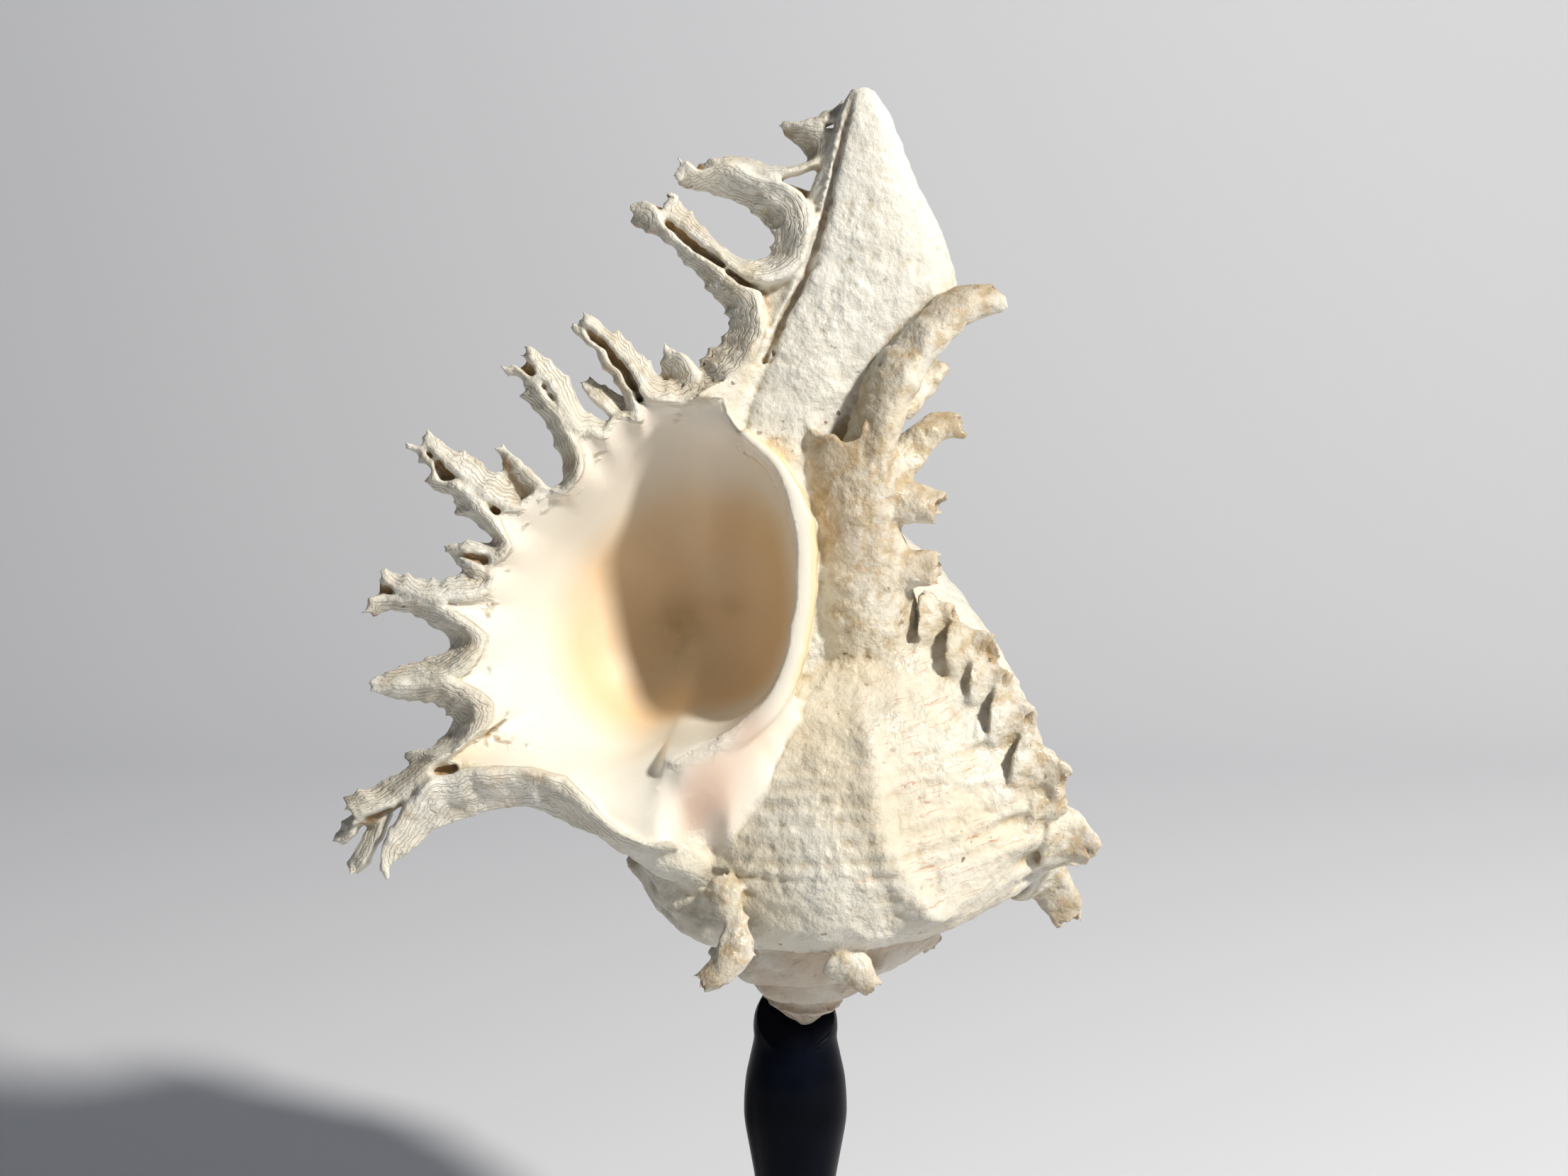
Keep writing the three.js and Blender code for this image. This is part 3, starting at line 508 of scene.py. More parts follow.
FROND_FLOORS = [  # root, middle, tip and half width at the root of the channel behind each frond
    ((33, 89.5), (27, 91), (20, 93), 5.5), ((26, 76), (13, 84), (3, 85), 5),
    ((18, 57), (4, 70), (-6, 77), 5.5), ((-4, 38), (-12, 47), (-19, 53), 4.5),
    ((-15, 29), (-22, 35), (-31, 46), 4.5), ((-26, 18), (-31, 23), (-35, 27), 3.5),
    ((-32, 13), (-42, 22), (-51, 29), 4.5), ((-35, 5), (-40, 8), (-44, 8.5), 3),
    ((-38, -4), (-49, 0), (-59, 2), 4.5), ((-38, -15), (-49, -16.5), (-58, -17.5), 4.5),
    ((-33, -24), (-50, -34), (-62, -44), 8),
]


def spikes(along, spacing, tall, sharp, seed):
    """A row of sharp points along a line of distances in mm."""
    rng = np.random.default_rng(seed)
    places = np.cumsum(rng.uniform(0.5, 1.6, 60) * spacing)
    heights = rng.uniform(0.25, 1.0, 60) * tall
    return np.max(heights * np.clip(1 - np.abs(along[:, None] - places) / sharp, 0, 1) ** 1.4, axis=1)


THORN = [(0, 1), (0.4, 0.72), (0.8, 0.38), (1, 0.2)]  # share of the way to its tip, share of its radius


def thorn(root, tip, radius, kind, mark_a):
    """A small blunt cone."""
    along = tip - root
    side = np.cross(along, (0.3, 0.5, 0.8))
    side /= np.linalg.norm(side)
    other = np.cross(along, side)
    other /= np.linalg.norm(other)
    ring = side * np.cos(circle[::3])[:, None] + other * np.sin(circle[::3])[:, None]
    add_solid([root + along * t + ring * radius * w for t, w in THORN], kind, (mark_a, 1))


for number, (channel_edge, gap_edge, level, tips) in enumerate(STRIPS):
    length = np.sum(np.linalg.norm(np.diff(np.array(channel_edge, float), axis=0), axis=1))
    share = np.linspace(0, 1, int(length / 0.4) + 6)
    along = share * length
    channel_side, gap_side = resampled(channel_edge, share), resampled(gap_edge, share)
    across = gap_side - channel_side
    width = np.maximum(np.linalg.norm(across, axis=1), 0.9)
    across /= np.linalg.norm(across, axis=1)[:, None]
    row = np.column_stack([along, along * 0 + number * 17, along * 0])
    tallest = 0.3 if number == SMOOTH_STRIP else 1.5
    gap_side = gap_side + across * (spikes(along, 4.0, tallest, 1.2, number) - 0.3)[:, None]
    frayed = 0.25 * noise(row, 1.8, 4) - spikes(along, 5.0, 0.7, 1.0, number + 50)
    channel_side = channel_side + across * frayed[:, None]
    arch = level + 1.3 * np.sin(share * math.pi) - 0.5 + 0.5 * noise(row, 5, 8) + 0.22 * noise(row, 1.7, 3)
    places, lifts = [], []
    for place, lift in STRIP_TOP:
        fold = 0.10 * width * noise(np.column_stack([along * 0.5, width * place, along * 0 + number]), 2.0, 9)
        places.append(width * 0 + place)
        lifts.append(arch + lift * width + fold * (place > 0.1))
    for place, slope, thick in STRIP_UNDERSIDE:
        places.append(width * 0 + place)
        lifts.append(arch - slope * width - thick)
    places, lifts = np.stack(places, axis=1), np.stack(lifts, axis=1)
    flat = channel_side[:, None, :] + (gap_side - channel_side)[:, None, :] * places[..., None]
    add_solid(in_mouth(flat[..., 0], flat[..., 1], lifts), RIBBON, (places * width[:, None], share[:, None]))
    rng = np.random.default_rng(number + 200)
    for end, inward, wanted in ((0, 3, ("start", "both")), (-1, -4, ("end", "both"))):
        if tips not in wanted:
            continue
        middle_line = (channel_side + gap_side) / 2
        forward = middle_line[end] - middle_line[end + inward if end == 0 else end + inward + 1]
        forward /= np.linalg.norm(forward)
        for _ in range(3):
            turn = rng.uniform(-0.8, 0.8)
            direction = np.array((forward[0] * math.cos(turn) - forward[1] * math.sin(turn),
                                  forward[0] * math.sin(turn) + forward[1] * math.cos(turn)))
            reach = rng.uniform(1.0, 2.6)
            start = channel_side[end] + (gap_side[end] - channel_side[end]) * rng.uniform(0, 1)
            root = in_mouth(*(start - forward * 0.8), arch[end] - 0.9)
            tip = in_mouth(*(start + direction * reach), arch[end] - 0.9 + rng.uniform(-0.8, 1))
            thorn(root, tip, 0.85, RIBBON, 1.0)

for root, bend, tip, half_width in FROND_FLOORS:
    t = np.linspace(0, 1, 30)[:, None]
    levels = (-6.0, -4.4, -2.9)
    root, bend, tip = (np.array((*point, level)) for point, level in zip((root, bend, tip), levels))
    spine = (1 - t) ** 2 * root + 2 * t * (1 - t) * bend + t**2 * tip
    tangent = np.gradient(spine[:, :2], axis=0)
    tangent /= np.linalg.norm(tangent, axis=1)[:, None]
    wide = half_width + (1.2 - half_width) * t**0.6
    a = wide * np.cos(circle)[None, :]
    lift = spine[:, 2:3] + (3 - 1.8 * t) * np.sin(circle)[None, :]
    x, y = spine[:, 0:1] - a * tangent[:, 1:2], spine[:, 1:2] + a * tangent[:, 0:1]
    add_solid(in_mouth(x, y, lift), FLOOR, (np.sin(circle)[None, :], t))


# ---- fronds of the older varices, each a short gutter with a hollow, ragged end
def hollow_frond(stations, facing, kind=STUB, hollow=0.55, ragged=0.8, seed=0, slant=0.0):
    """A gutter through stations of x, y, z and half width, open on the side it faces, hollow at its end."""
    t = np.linspace(0, 1, 36)
    line = through(stations, t)
    spine, width = line[:, :3], line[:, 3]
    tangent = np.gradient(spine, axis=0)
    tangent /= np.linalg.norm(tangent, axis=1)[:, None]
    side = np.cross(tangent, facing)
    side /= np.linalg.norm(side, axis=1)[:, None]
    up = np.cross(side, tangent)
    across, high = np.cos(circle), np.sin(circle) * 0.8
    trough = np.clip(high, 0, 1) ** 0.7 * 0.9
    lumps = 0.12 * noise(np.column_stack([np.repeat(t * 6, len(circle)), np.tile(across * 1.5, len(t)),
                                          np.tile(high * 1.5, len(t)) + seed]), 1.0, 40).reshape(len(t), -1)
    rows = []
    for i in range(len(t)):
        depth = trough * hollow * smooth(t[i], 0.1, 0.7)
        swell = (1 + lumps[i])[:, None]
        offset = side[i] * (across * width[i])[:, None] + up[i] * ((high - depth) * width[i])[:, None]
        rows.append(spine[i] + offset * swell)
    rng = np.random.default_rng(seed)
    teeth = (ragged * rng.uniform(-1, 1, len(circle)) - slant * np.clip(high, 0, 1))[:, None] * tangent[-1]
    end = rows[-1] + teeth
    rows[-1] = end
    rows.append(spine[-1] + (end - spine[-1]) * 0.82)
    rows.append(spine[-1] + (end - spine[-1]) * 0.6 - tangent[-1] * width[-1] * 1.1)
    rows = np.array(rows)
    place = np.linspace(0, 1, len(rows))[:, None]
    # This mark paints shade into the gutter's hollow and its ragged end.
    shaded = trough[None, :] * smooth(place, 0.2, 0.9)
    shaded[-2:] = 1
    add_solid(rows, kind, (shaded, place))


def mouth_frond(stations, facing=mouth_out, **shape):
    """A frond through stations of x, y, out and half width in the mouth plane."""
    hollow_frond([(*in_mouth(x, y, out), width) for x, y, out, width in stations], facing, **shape)


BACK_FRONDS = [  # share along the outline, length, half width at the last whorl's size, and droop
    (0.26, 10, 6, -13), (0.36, 7, 5, -3), (0.44, 10, 5, 0), (0.53, 10, 5, 2), (0.62, 10, 5, 4),
    (0.72, 10, 4.5, 3), (0.80, 7, 4.5, 3),
]
RIGHT_FRONDS = [
    (0.245, 11, 7.5, -19), (0.37, 7, 4.5, -2), (0.435, 12, 7.5, -5), (0.52, 7, 5, 1), (0.575, 12, 8, -3),
    (0.66, 9, 7.5, 1), (0.73, 8, 6.5, 2), (0.785, 10, 7.5, 3), (0.85, 7, 7.5, 3),
]


def varix_fronds(turn, fronds, seed, hollow_ahead):
    size = float(size_at(turn))
    for number, (share, length, width, droop) in enumerate(fronds):
        there = turn + float(slant_at(share))
        surface = whorl_point(there, share)
        out = polar(1.0, LIP_ANGLE + there, 0.0)
        growing = polar(1.0, LIP_ANGLE + there + 90, 0.0)
        root = surface - out * 3 * size
        tip = surface + out * length * size + growing * 2 * size + np.array((0, 0, droop * size))
        bend = (root + tip) / 2 - np.array((0, 0, droop * 0.25 * size))
        stations = [(*root, width * 1.5 * size), (*bend, width * 1.05 * size), (*tip, width * 0.62 * size)]
        hollow_frond(stations, growing * hollow_ahead, hollow=0.75, ragged=1.3 * size, seed=seed + number)


varix_fronds(-VARIX_STEP, BACK_FRONDS, 10, 1)
varix_fronds(-2 * VARIX_STEP, RIGHT_FRONDS, 20, -1)
varix_fronds(-4 * VARIX_STEP, BACK_FRONDS[:1], 40, 1)
varix_fronds(-5 * VARIX_STEP, [(0.24, 4, 6, -3)], 50, -1)

OLD_CANALS = [  # share that its hollow faces forward, slant of its end, and stations
    (1.0, 5.5, [(36, -14, -24, 11), (35.5, 2, -15, 10), (34.5, 17, -9, 9.6), (33.2, 36, -3.0, 8.6)]),
    (0.4, 2.0, [(33, 14, -12, 7), (37, 31, -4, 6.2), (40.5, 41, 0, 5.8), (46, 49, 1, 5.3),
                (54.3, 57, 0, 4.8), (63, 59.6, -2, 3.7)]),
    (0.5, 1.5, [(36, 12, -14, 6), (41.5, 24, -11, 4.2), (46, 31, -10, 3.6), (50, 34.5, -10, 3.2),
                (56, 34.8, -10, 2.8)]),
    (0.5, 1.5, [(42, 38, -8, 4.5), (48, 44, -8, 3.6), (52, 47.5, -9, 2.6)]),
    (0.7, 1.5, [(33, 17, -12, 6.5), (40, 19, -9, 5.6), (46, 19.4, -7.5, 4.6), (51, 17.4, -7, 3.9)]),
    (0.7, 1.5, [(33, 3, -17, 6), (40.5, 5.5, -13, 5.2), (46, 6.6, -11, 4.3), (50.8, 5.6, -10.5, 3.5)]),
]
for number, (forward, slant, stations) in enumerate(OLD_CANALS):
    facing = mouth_out * forward + mouth_up * (1 - forward)
    mouth_frond(stations, facing, kind=TUBE, hollow=0.15, ragged=0.9, seed=70 + number, slant=slant)

# The end of the outer lip is bedded on the last whorl beside the fold.
BED = [(-17, -41.5, -7, 4), (-9, -46, -8, 5), (-1, -50, -11, 6), (5, -54, -16, 6)]
mouth_frond(BED, kind=LIP, hollow=0, ragged=0, seed=92)

# The stump of an older varix on the left of the front, a block with a bent frond below it.
STUMP = [(8, -55, -8, 2.0), (8.3, -58.5, -5.5, 3.4), (10.4, -63, -5.5, 2.3), (10.8, -67.5, -4.5, 3.9),
         (8.6, -71.5, -4, 3.2), (3.2, -75.2, -4, 2.0)]
mouth_frond(STUMP, hollow=0.12, ragged=0.8, seed=90)
LOWER_LUMP = [(30, -70, -14, 5), (34.5, -73.5, -13, 3.6), (37.8, -77.2, -13, 2.0)]
mouth_frond(LOWER_LUMP, hollow=0.2, ragged=0.8, seed=91)
STUMP_THORNS = [  # x, y of the root and of the tip
    (8.3, -56.5, 8.3, -53.6), (4.8, -57.5, 3.2, -57), (11, -57.5, 12, -56.6), (11, -62, 13.8, -62.7),
    (12.5, -69, 14.8, -70), (6.6, -69, 5.2, -69.6),
]
for x, y, reach_x, reach_y in STUMP_THORNS:
    thorn(in_mouth(x, y, -6.5), in_mouth(reach_x, reach_y, -5.5), 1.3, STUB, 0.1)

# ---- fused: everything above becomes one skin, and the bowl and the slit are cut from it
lean_cos, lean_sin = math.cos(LEAN), math.sin(LEAN)


def in_place(points):
    """Shell points in millimetres, as points of the row in metres."""
    x, y, z = np.asarray(points, float).T
    leant = np.column_stack([x, y * lean_cos - z * lean_sin, y * lean_sin + z * lean_cos])
    return leant / 1000 + np.array(APEX)


def pick(piece):
    """Makes a piece the only selected one, and the active one."""
    bpy.ops.object.select_all(action="DESELECT")
    piece.select_set(True)
    bpy.context.view_layer.objects.active = piece


def mesh_object(name, points, faces):
    mesh = bpy.data.meshes.new(name)
    mesh.from_pydata(points.tolist(), [], faces)
    mesh.update()
    made = bpy.data.objects.new(name, mesh)
    bpy.context.scene.collection.objects.link(made)
    pick(made)
    bpy.ops.object.mode_set(mode="EDIT")
    bpy.ops.mesh.select_all(action="SELECT")
    bpy.ops.mesh.normals_make_consistent(inside=False)
    bpy.ops.object.mode_set(mode="OBJECT")
    return made


REMESHING = {"mode": "VOXEL", "voxel_size": 0.00045}
shell = mesh_object("murex_shell", in_place(np.vstack(solid_points)), solid_faces)
worked(shell, "skin", "REMESH", **REMESHING)


def cut_away(rings, marks):
    """Cuts a closed solid through rings of points out of the shell."""
    solid_points.clear()
    solid_faces.clear()
    add_solid(rings, BOWL, marks)
    hollow = mesh_object("hollow", in_place(np.vstack(solid_points)), solid_faces)
    pick(shell)
    worked(shell, "cut", "BOOLEAN", operation="DIFFERENCE", solver="MANIFOLD", object=hollow)
    bpy.data.objects.remove(hollow)


cut_away(bowl_rings, (bowl_depths[:, None], mouth_angles[None, :]))
# The slit runs on from the canal down to the mouth.
SLIT_END = [(26.5, 66), (22.2, 58.6), (19.7, 53.5), (17.4, 46.8), (16, 43.6), (13.9, 39.5), (12.6, 35.5)]
slit_line = resampled(SLIT_END, np.linspace(0, 1, 60))
slit_line[:, 0] += 0.25 * noise(slit_line[:, [1, 1, 1]], 3.0, 33)
half_slit = np.linspace(0.5, 0.45, 60)
SLIT_SECTION = [(-1.2, 6), (1.2, 6), (1, -2.0), (0.2, -6.0), (-1, -2.0)]  # half widths sideways, and out
slit_x, slit_y = slit_line.T
slit_sides = [in_mouth(slit_x + side * half_slit, slit_y, out) for side, out in SLIT_SECTION]
cut_away(np.stack(slit_sides, axis=1), None)
worked(shell, "skin", "REMESH", **REMESHING)


def vertex_values(piece, name):
    flat = np.empty(len(piece.data.vertices) * 3)
    piece.data.vertices.foreach_get(name, flat)
    return flat.reshape(-1, 3)


def evened(values, rounds, amount=0.5):
    """Values at the skin's vertices, each drawn towards the mean of its neighbours."""
    values = np.asarray(values, float)
    count = len(values)
    flat = values.reshape(count, -1)
    shared = np.bincount(ends.ravel(), minlength=count).astype(float)
    for _ in range(rounds):
        mean = np.empty_like(flat)
        for k in range(flat.shape[1]):
            mean[:, k] = (np.bincount(ends[:, 0], flat[ends[:, 1], k], count)
                          + np.bincount(ends[:, 1], flat[ends[:, 0], k], count))
        mean /= shared[:, None]
        flat = flat + (mean - flat) * amount
    return flat.reshape(values.shape)


# What kind of surface each vertex lies on, from the nearest sample.
places = in_place(np.vstack(sample_points))
marks = np.vstack(sample_marks)
tree = kdtree.KDTree(len(places))
for i, place in enumerate(places):
    tree.insert(place, i)
tree.balance()
skin_points = vertex_values(shell, "co")
ends = np.empty(len(shell.data.edges) * 2, int)
shell.data.edges.foreach_get("vertices", ends)
ends = ends.reshape(-1, 2)  # the two vertices of every edge
nearest = np.array([tree.find(point)[1] for point in skin_points])
kind, mark_a, mark_b = marks[nearest].T.copy()
bowl_samples = np.flatnonzero(marks[:, 0] == BOWL)
bowl_tree = kdtree.KDTree(len(bowl_samples))
for i in bowl_samples:
    bowl_tree.insert(places[i], int(i))
bowl_tree.balance()
# Skin this close to the bowl's samples is the bowl's, except right at its edge.
AROUND_MOUTH, CLOSE, EDGE_DEPTH = 0.065, 0.0009, 12
from_mouth = np.linalg.norm(skin_points - in_place(MOUTH[None, :])[0], axis=1)
for i in np.flatnonzero((from_mouth < AROUND_MOUTH) & (kind != BOWL)):
    _, sample, gap = bowl_tree.find(skin_points[i])
    if gap < CLOSE and marks[sample, 1] > EDGE_DEPTH:
        kind[i], mark_a[i], mark_b[i] = marks[sample]


def seen_from_mouth(points):
    """Row points in metres as shell points, and as x, y and out in the mouth plane, in millimetres."""
    x, y, z = ((points - np.array(APEX)) * 1000).T
    local = np.column_stack([x, y * lean_cos + z * lean_sin, z * lean_cos - y * lean_sin])
    return local, *((local - MOUTH) @ axis for axis in (mouth_right, mouth_up, mouth_out))


local, mouth_x, mouth_y, mouth_z = seen_from_mouth(skin_points)
# The fold, where the bowl meets the roll, is smoothed over a lengthwise patch.
FOLD_X, FOLD_Y, FOLD_HALF_LENGTH, FOLD_ROUNDS = -4.6, -40, 6, 40
beyond_ends = np.clip(np.abs(mouth_y - FOLD_Y) - FOLD_HALF_LENGTH, 0, None)
beside = np.hypot((mouth_x - FOLD_X) / 4.0, beyond_ends / 3.0)
on_fold = (1 - smooth(beside, 0.4, 1.0)) * smooth(mouth_z, -14, -9)
for _ in range(FOLD_ROUNDS):
    skin_points = skin_points + (evened(skin_points, 1, 1.0) - skin_points) * on_fold[:, None] * 0.7
bowl = evened((kind == BOWL) | (on_fold > 0.5), 2)
roll_foot = np.where(mark_a >= ON_ROLL, smooth(mark_a, ON_ROLL + 0.55, ON_ROLL + 0.98), 0)
callus = evened(np.where(kind == CALLUS, 1 - roll_foot, 0.0), 8)
smoothing = evened(np.where(kind == BOWL, 1.0, np.where(kind == CALLUS, 0.7, 0.08)), 2)
SKIN_ROUNDS = 8
for _ in range(SKIN_ROUNDS):
    skin_points = skin_points + (evened(skin_points, 1, 1.0) - skin_points) * smoothing[:, None] * 0.6
shell.data.vertices.foreach_set("co", skin_points.ravel())
shell.data.update()

# Relief finer than the rings: growth wrinkles, pits and grain, pushed along the surface.
out = vertex_values(shell, "normal")
local, mouth_x, mouth_y, mouth_z = seen_from_mouth(skin_points)
porcelain = np.clip(bowl + callus, 0, 1)
rough = 1 - porcelain
on_strip = evened(kind == RIBBON, 2)
on_old = evened(np.isin(kind, (STUB, TUBE)), 2)
coarse = noise(local * np.array((1, 1, 1.8)), 5.0, 2)
medium, fine = noise(local, 2.2, 1), noise(local, 1.1, 12)
pits = -smooth(noise(local, 1.9, 13), 0.4, 0.85) * (0.25 + 0.05 * on_old)
relief = 0.20 * medium + 0.28 * coarse + 0.10 * fine + pits + on_old * 0.35 * noise(local, 3.0, 14)
skin_points = skin_points + out * (relief * rough * (1 - 0.6 * on_strip) / 1000)[:, None]
shell.data.vertices.foreach_set("co", skin_points.ravel())

# How hollow each place is; the tan laid into hollows below is partly dirt and partly painted shade.
bend = evened(skin_points, 4, 1.0)
hollowness = np.sum((bend - skin_points) * out, axis=1) * 1000
hollowness = np.clip(evened(hollowness, 2) / 0.22, -1, 1)
# Brown in the channels behind the fronds, the old fronds' hollows and the canal's slit: partly their stain,
# partly painted shade in these recesses.
channel_stain_and_shade = np.where(kind == FLOOR, np.clip(mark_a * 1.3, 0, 1), 0)
channel_stain_and_shade = channel_stain_and_shade + np.where((kind == STUB) | (kind == TUBE), mark_a * 0.55, 0)
channel_stain_and_shade = channel_stain_and_shade + np.where(kind == CANAL, mark_a * 0.35, 0)
near_front = smooth(mouth_z, -16, -6)


def spot(x, y, reach_x, reach_y):
    return np.exp(-(((mouth_x - x) / reach_x) ** 2) - ((mouth_y - y) / reach_y) ** 2)


on_band = (kind == CALLUS) & (mark_a < ON_ROLL)
band_edge = np.where(on_band, smooth(mark_a, 0.72, 1.0), 0) * smooth(mouth_y, -24, -14)
golden = evened(band_edge, 3) + spot(18, 27.5, 4, 3) * near_front * rough
golden = golden + 0.55 * spot(-44, -30, 6, 5) * bowl + 0.45 * spot(14, 15, 8, 4) * bowl * (1 - near_front)
salmon = np.clip((spot(7, -37, 5, 9) + 0.8 * spot(14, -27, 4, 6) + 0.7 * spot(2, -42, 3, 8)) * callus, 0, 1)
values = {
    "porcelain": porcelain,
    "depth": np.where(kind == BOWL, mark_a / 100, 0.0),
    "channel_stain_and_shade": evened(channel_stain_and_shade * rough, 2),
    "hollowness": hollowness,
    "strip": on_strip,
    "across": evened(np.where(kind == RIBBON, mark_a, 0.0), 1),
    "old_frond": on_old,
    "canal": evened(kind == CANAL, 6),
    "turn": np.where(kind == WHORL, mark_a / 360, 0.0),
    "share": np.where(kind == WHORL, mark_b, 0.0),
    "golden": np.clip(golden, 0, 1),
    "salmon": salmon,
    "olive": np.clip(spot(-2, -6, 5, 8) + 0.5 * spot(9.5, 1, 3, 2.5), 0, 1) * bowl,
    # The lilac grey over the upper bowl is painted shade.
    "painted_shade_lilac": np.clip(spot(-4, 30, 26, 12) + 0.5 * spot(-30, 8, 10, 12), 0, 1) * bowl,
    # The grey on the fold beside the callus is painted shade in the crease.
    "fold": spot(-3.5, -44, 4, 7) * near_front,
}
for name, value in values.items():
    layer = shell.data.attributes.new(name, "FLOAT", "POINT")
    layer.data.foreach_set("value", value.astype(np.float32))

TRIANGLES = 192000
kept_share = min(1.0, TRIANGLES / (len(shell.data.polygons) * 2))
worked(shell, "thin", "DECIMATE", ratio=kept_share, use_collapse_triangulate=True)
bpy.ops.object.shade_smooth()

shell_material = bpy.data.materials.new("shell_lime")
shell_material.use_nodes = True
tree_nodes, links = shell_material.node_tree.nodes, shell_material.node_tree.links
shader = tree_nodes["Principled BSDF"]


def attribute(name):
    node = tree_nodes.new("ShaderNodeAttribute")
    node.attribute_name = name
    return node.outputs["Fac"]


def fed(socket, value):
    if isinstance(value, bpy.types.NodeSocket):
        links.new(value, socket)
    elif isinstance(value, tuple):
        socket.default_value = (*value, 1)
    else:
        socket.default_value = value


def mixed(factor, first, second):
    node = tree_nodes.new("ShaderNodeMix")
    node.data_type = "RGBA"
    fed(node.inputs[0], factor)
    fed(node.inputs[6], first)
    fed(node.inputs[7], second)
    return node.outputs[2]


def ranged(value, low, high, to_low=0.0, to_high=1.0):
    node = tree_nodes.new("ShaderNodeMapRange")
    fed(node.inputs[0], value)
    for socket, number in zip(node.inputs[1:5], (low, high, to_low, to_high)):
        socket.default_value = number
    return node.outputs[0]


def reckoned(operation, first, second=0.0):
    node = tree_nodes.new("ShaderNodeMath")
    node.operation = operation
    fed(node.inputs[0], first)
    fed(node.inputs[1], second)
    return node.outputs[0]


def product(*values):
    total = values[0]
    for value in values[1:]:
        total = reckoned("MULTIPLY", total, value)
    return total


place_node = tree_nodes.new("ShaderNodeTexCoord")


def grain(scale, detail=4.0, stretch=(1, 1, 1), roughness=0.5, source=None):
    mapping = tree_nodes.new("ShaderNodeMapping")
    mapping.inputs["Scale"].default_value = stretch
    links.new(source or place_node.outputs["Object"], mapping.inputs["Vector"])
    node = tree_nodes.new("ShaderNodeTexNoise")
    node.inputs["Scale"].default_value = scale
    node.inputs["Detail"].default_value = detail
    node.inputs["Roughness"].default_value = roughness
    links.new(mapping.outputs[0], node.inputs["Vector"])
    return node.outputs[0]


def joined(x, y, z):
    node = tree_nodes.new("ShaderNodeCombineXYZ")
    for socket, value in zip(node.inputs, (x, y, z)):
        fed(socket, value)
    return node.outputs[0]


CHALK, CREAM, TAN = (0.70, 0.68, 0.60), (0.64, 0.58, 0.45), (0.42, 0.31, 0.16)
GREY_LIME, BROWN = (0.50, 0.48, 0.41), (0.26, 0.14, 0.035)
SPECK, RUST = (0.10, 0.05, 0.02), (0.45, 0.17, 0.06)
PALE_LIME, ROSY = (0.72, 0.71, 0.65), (0.52, 0.39, 0.29)
WHITE_PORCELAIN, SHADE_LILAC, THROAT_TINT_AND_SHADE = (0.80, 0.76, 0.66), (0.66, 0.60, 0.52), (0.76, 0.56, 0.34)
GOLD, SALMON, OLIVE = (0.72, 0.50, 0.22), (0.64, 0.42, 0.30), (0.34, 0.24, 0.08)
# Chalky lime, with cream clouds, and tan in every hollow and pit: partly dirt that has settled there, partly
# painted shade.
outside = mixed(ranged(grain(45, 5), 0.38, 0.64), CHALK, CREAM)
outside = mixed(ranged(grain(28, 6, (1, 1, 1.6), 0.6), 0.52, 0.72, 0, 0.55), outside, GREY_LIME)
hollow_dirt_and_shade = product(
    ranged(attribute("hollowness"), -0.05, 0.9),
    ranged(grain(170, 6, roughness=0.65), 0.36, 0.62, 0.1, 1.0),
)
# The canal is whiter than the body, partly as painted light on its lit top.
outside = mixed(ranged(attribute("canal"), 0.2, 1.0, 0.0, 0.7), outside, PALE_LIME)
outside = mixed(product(attribute("strip"), 0.8), outside, PALE_LIME)
early = ranged(attribute("turn"), -0.98, -1.1)
outside = mixed(product(early, ranged(grain(60, 5, roughness=0.6), 0.40, 0.62, 0.1, 0.7)), outside, ROSY)
# Tan in the hollows: partly dirt, partly painted shade.
outside = mixed(hollow_dirt_and_shade, outside, TAN)
old_dirt = product(attribute("old_frond"), ranged(grain(260, 6, roughness=0.7), 0.46, 0.62, 0.05, 0.75))
outside = mixed(old_dirt, outside, TAN)
# Growth layers show as fine lines along the strips.
wavy = reckoned("ADD", attribute("across"), product(grain(90, 3), 3.6))
layers = reckoned("SINE", product(wavy, 7.0))
outside = mixed(product(attribute("strip"), ranged(grain(75, 4), 0.36, 0.6, 0.0, 0.5)), outside, CREAM)
strip_dirt = product(attribute("strip"), ranged(grain(130, 5, roughness=0.6), 0.5, 0.66, 0.0, 0.45))
outside = mixed(strip_dirt, outside, TAN)
layer_lines = product(ranged(layers, 0.2, 0.95), ranged(attribute("across"), 0.5, 2.5), attribute("strip"))
outside = mixed(product(layer_lines, ranged(grain(60, 4), 0.42, 0.6, 0.0, 0.45)), outside, TAN)
# Fine dark specks, and short rusty dashes near the last but one varix.
speck_mask = product(ranged(grain(420, 2), 0.685, 0.72), ranged(grain(30, 3), 0.5, 0.62))
outside = mixed(product(speck_mask, 0.8), outside, SPECK)
sheet = joined(product(attribute("turn"), 200.0), product(attribute("share"), 900.0), 0.0)
dashes = ranged(grain(0.35, 2, (0.35, 1, 1), source=sheet), 0.60, 0.68)
near_varix = product(ranged(attribute("turn"), -0.83, -0.76), ranged(attribute("turn"), -0.62, -0.70))
outside = mixed(product(dashes, near_varix, 0.6), outside, RUST)
# Brown in the channels, hollows and slit: partly stain, partly painted shade.
outside = mixed(ranged(attribute("channel_stain_and_shade"), 0.05, 0.9, 0.0, 0.85), outside, BROWN)
# Painted shade: grey in the fold beside the callus.
outside = mixed(product(attribute("fold"), 0.5), outside, GREY_LIME)
# Porcelain: white at the mouth's edge, warmer and darker inwards; the warm tint is its own, the darkening
# deep in the bowl is partly painted shade.
inside = mixed(ranged(attribute("depth"), 0.38, 0.60), WHITE_PORCELAIN, THROAT_TINT_AND_SHADE)
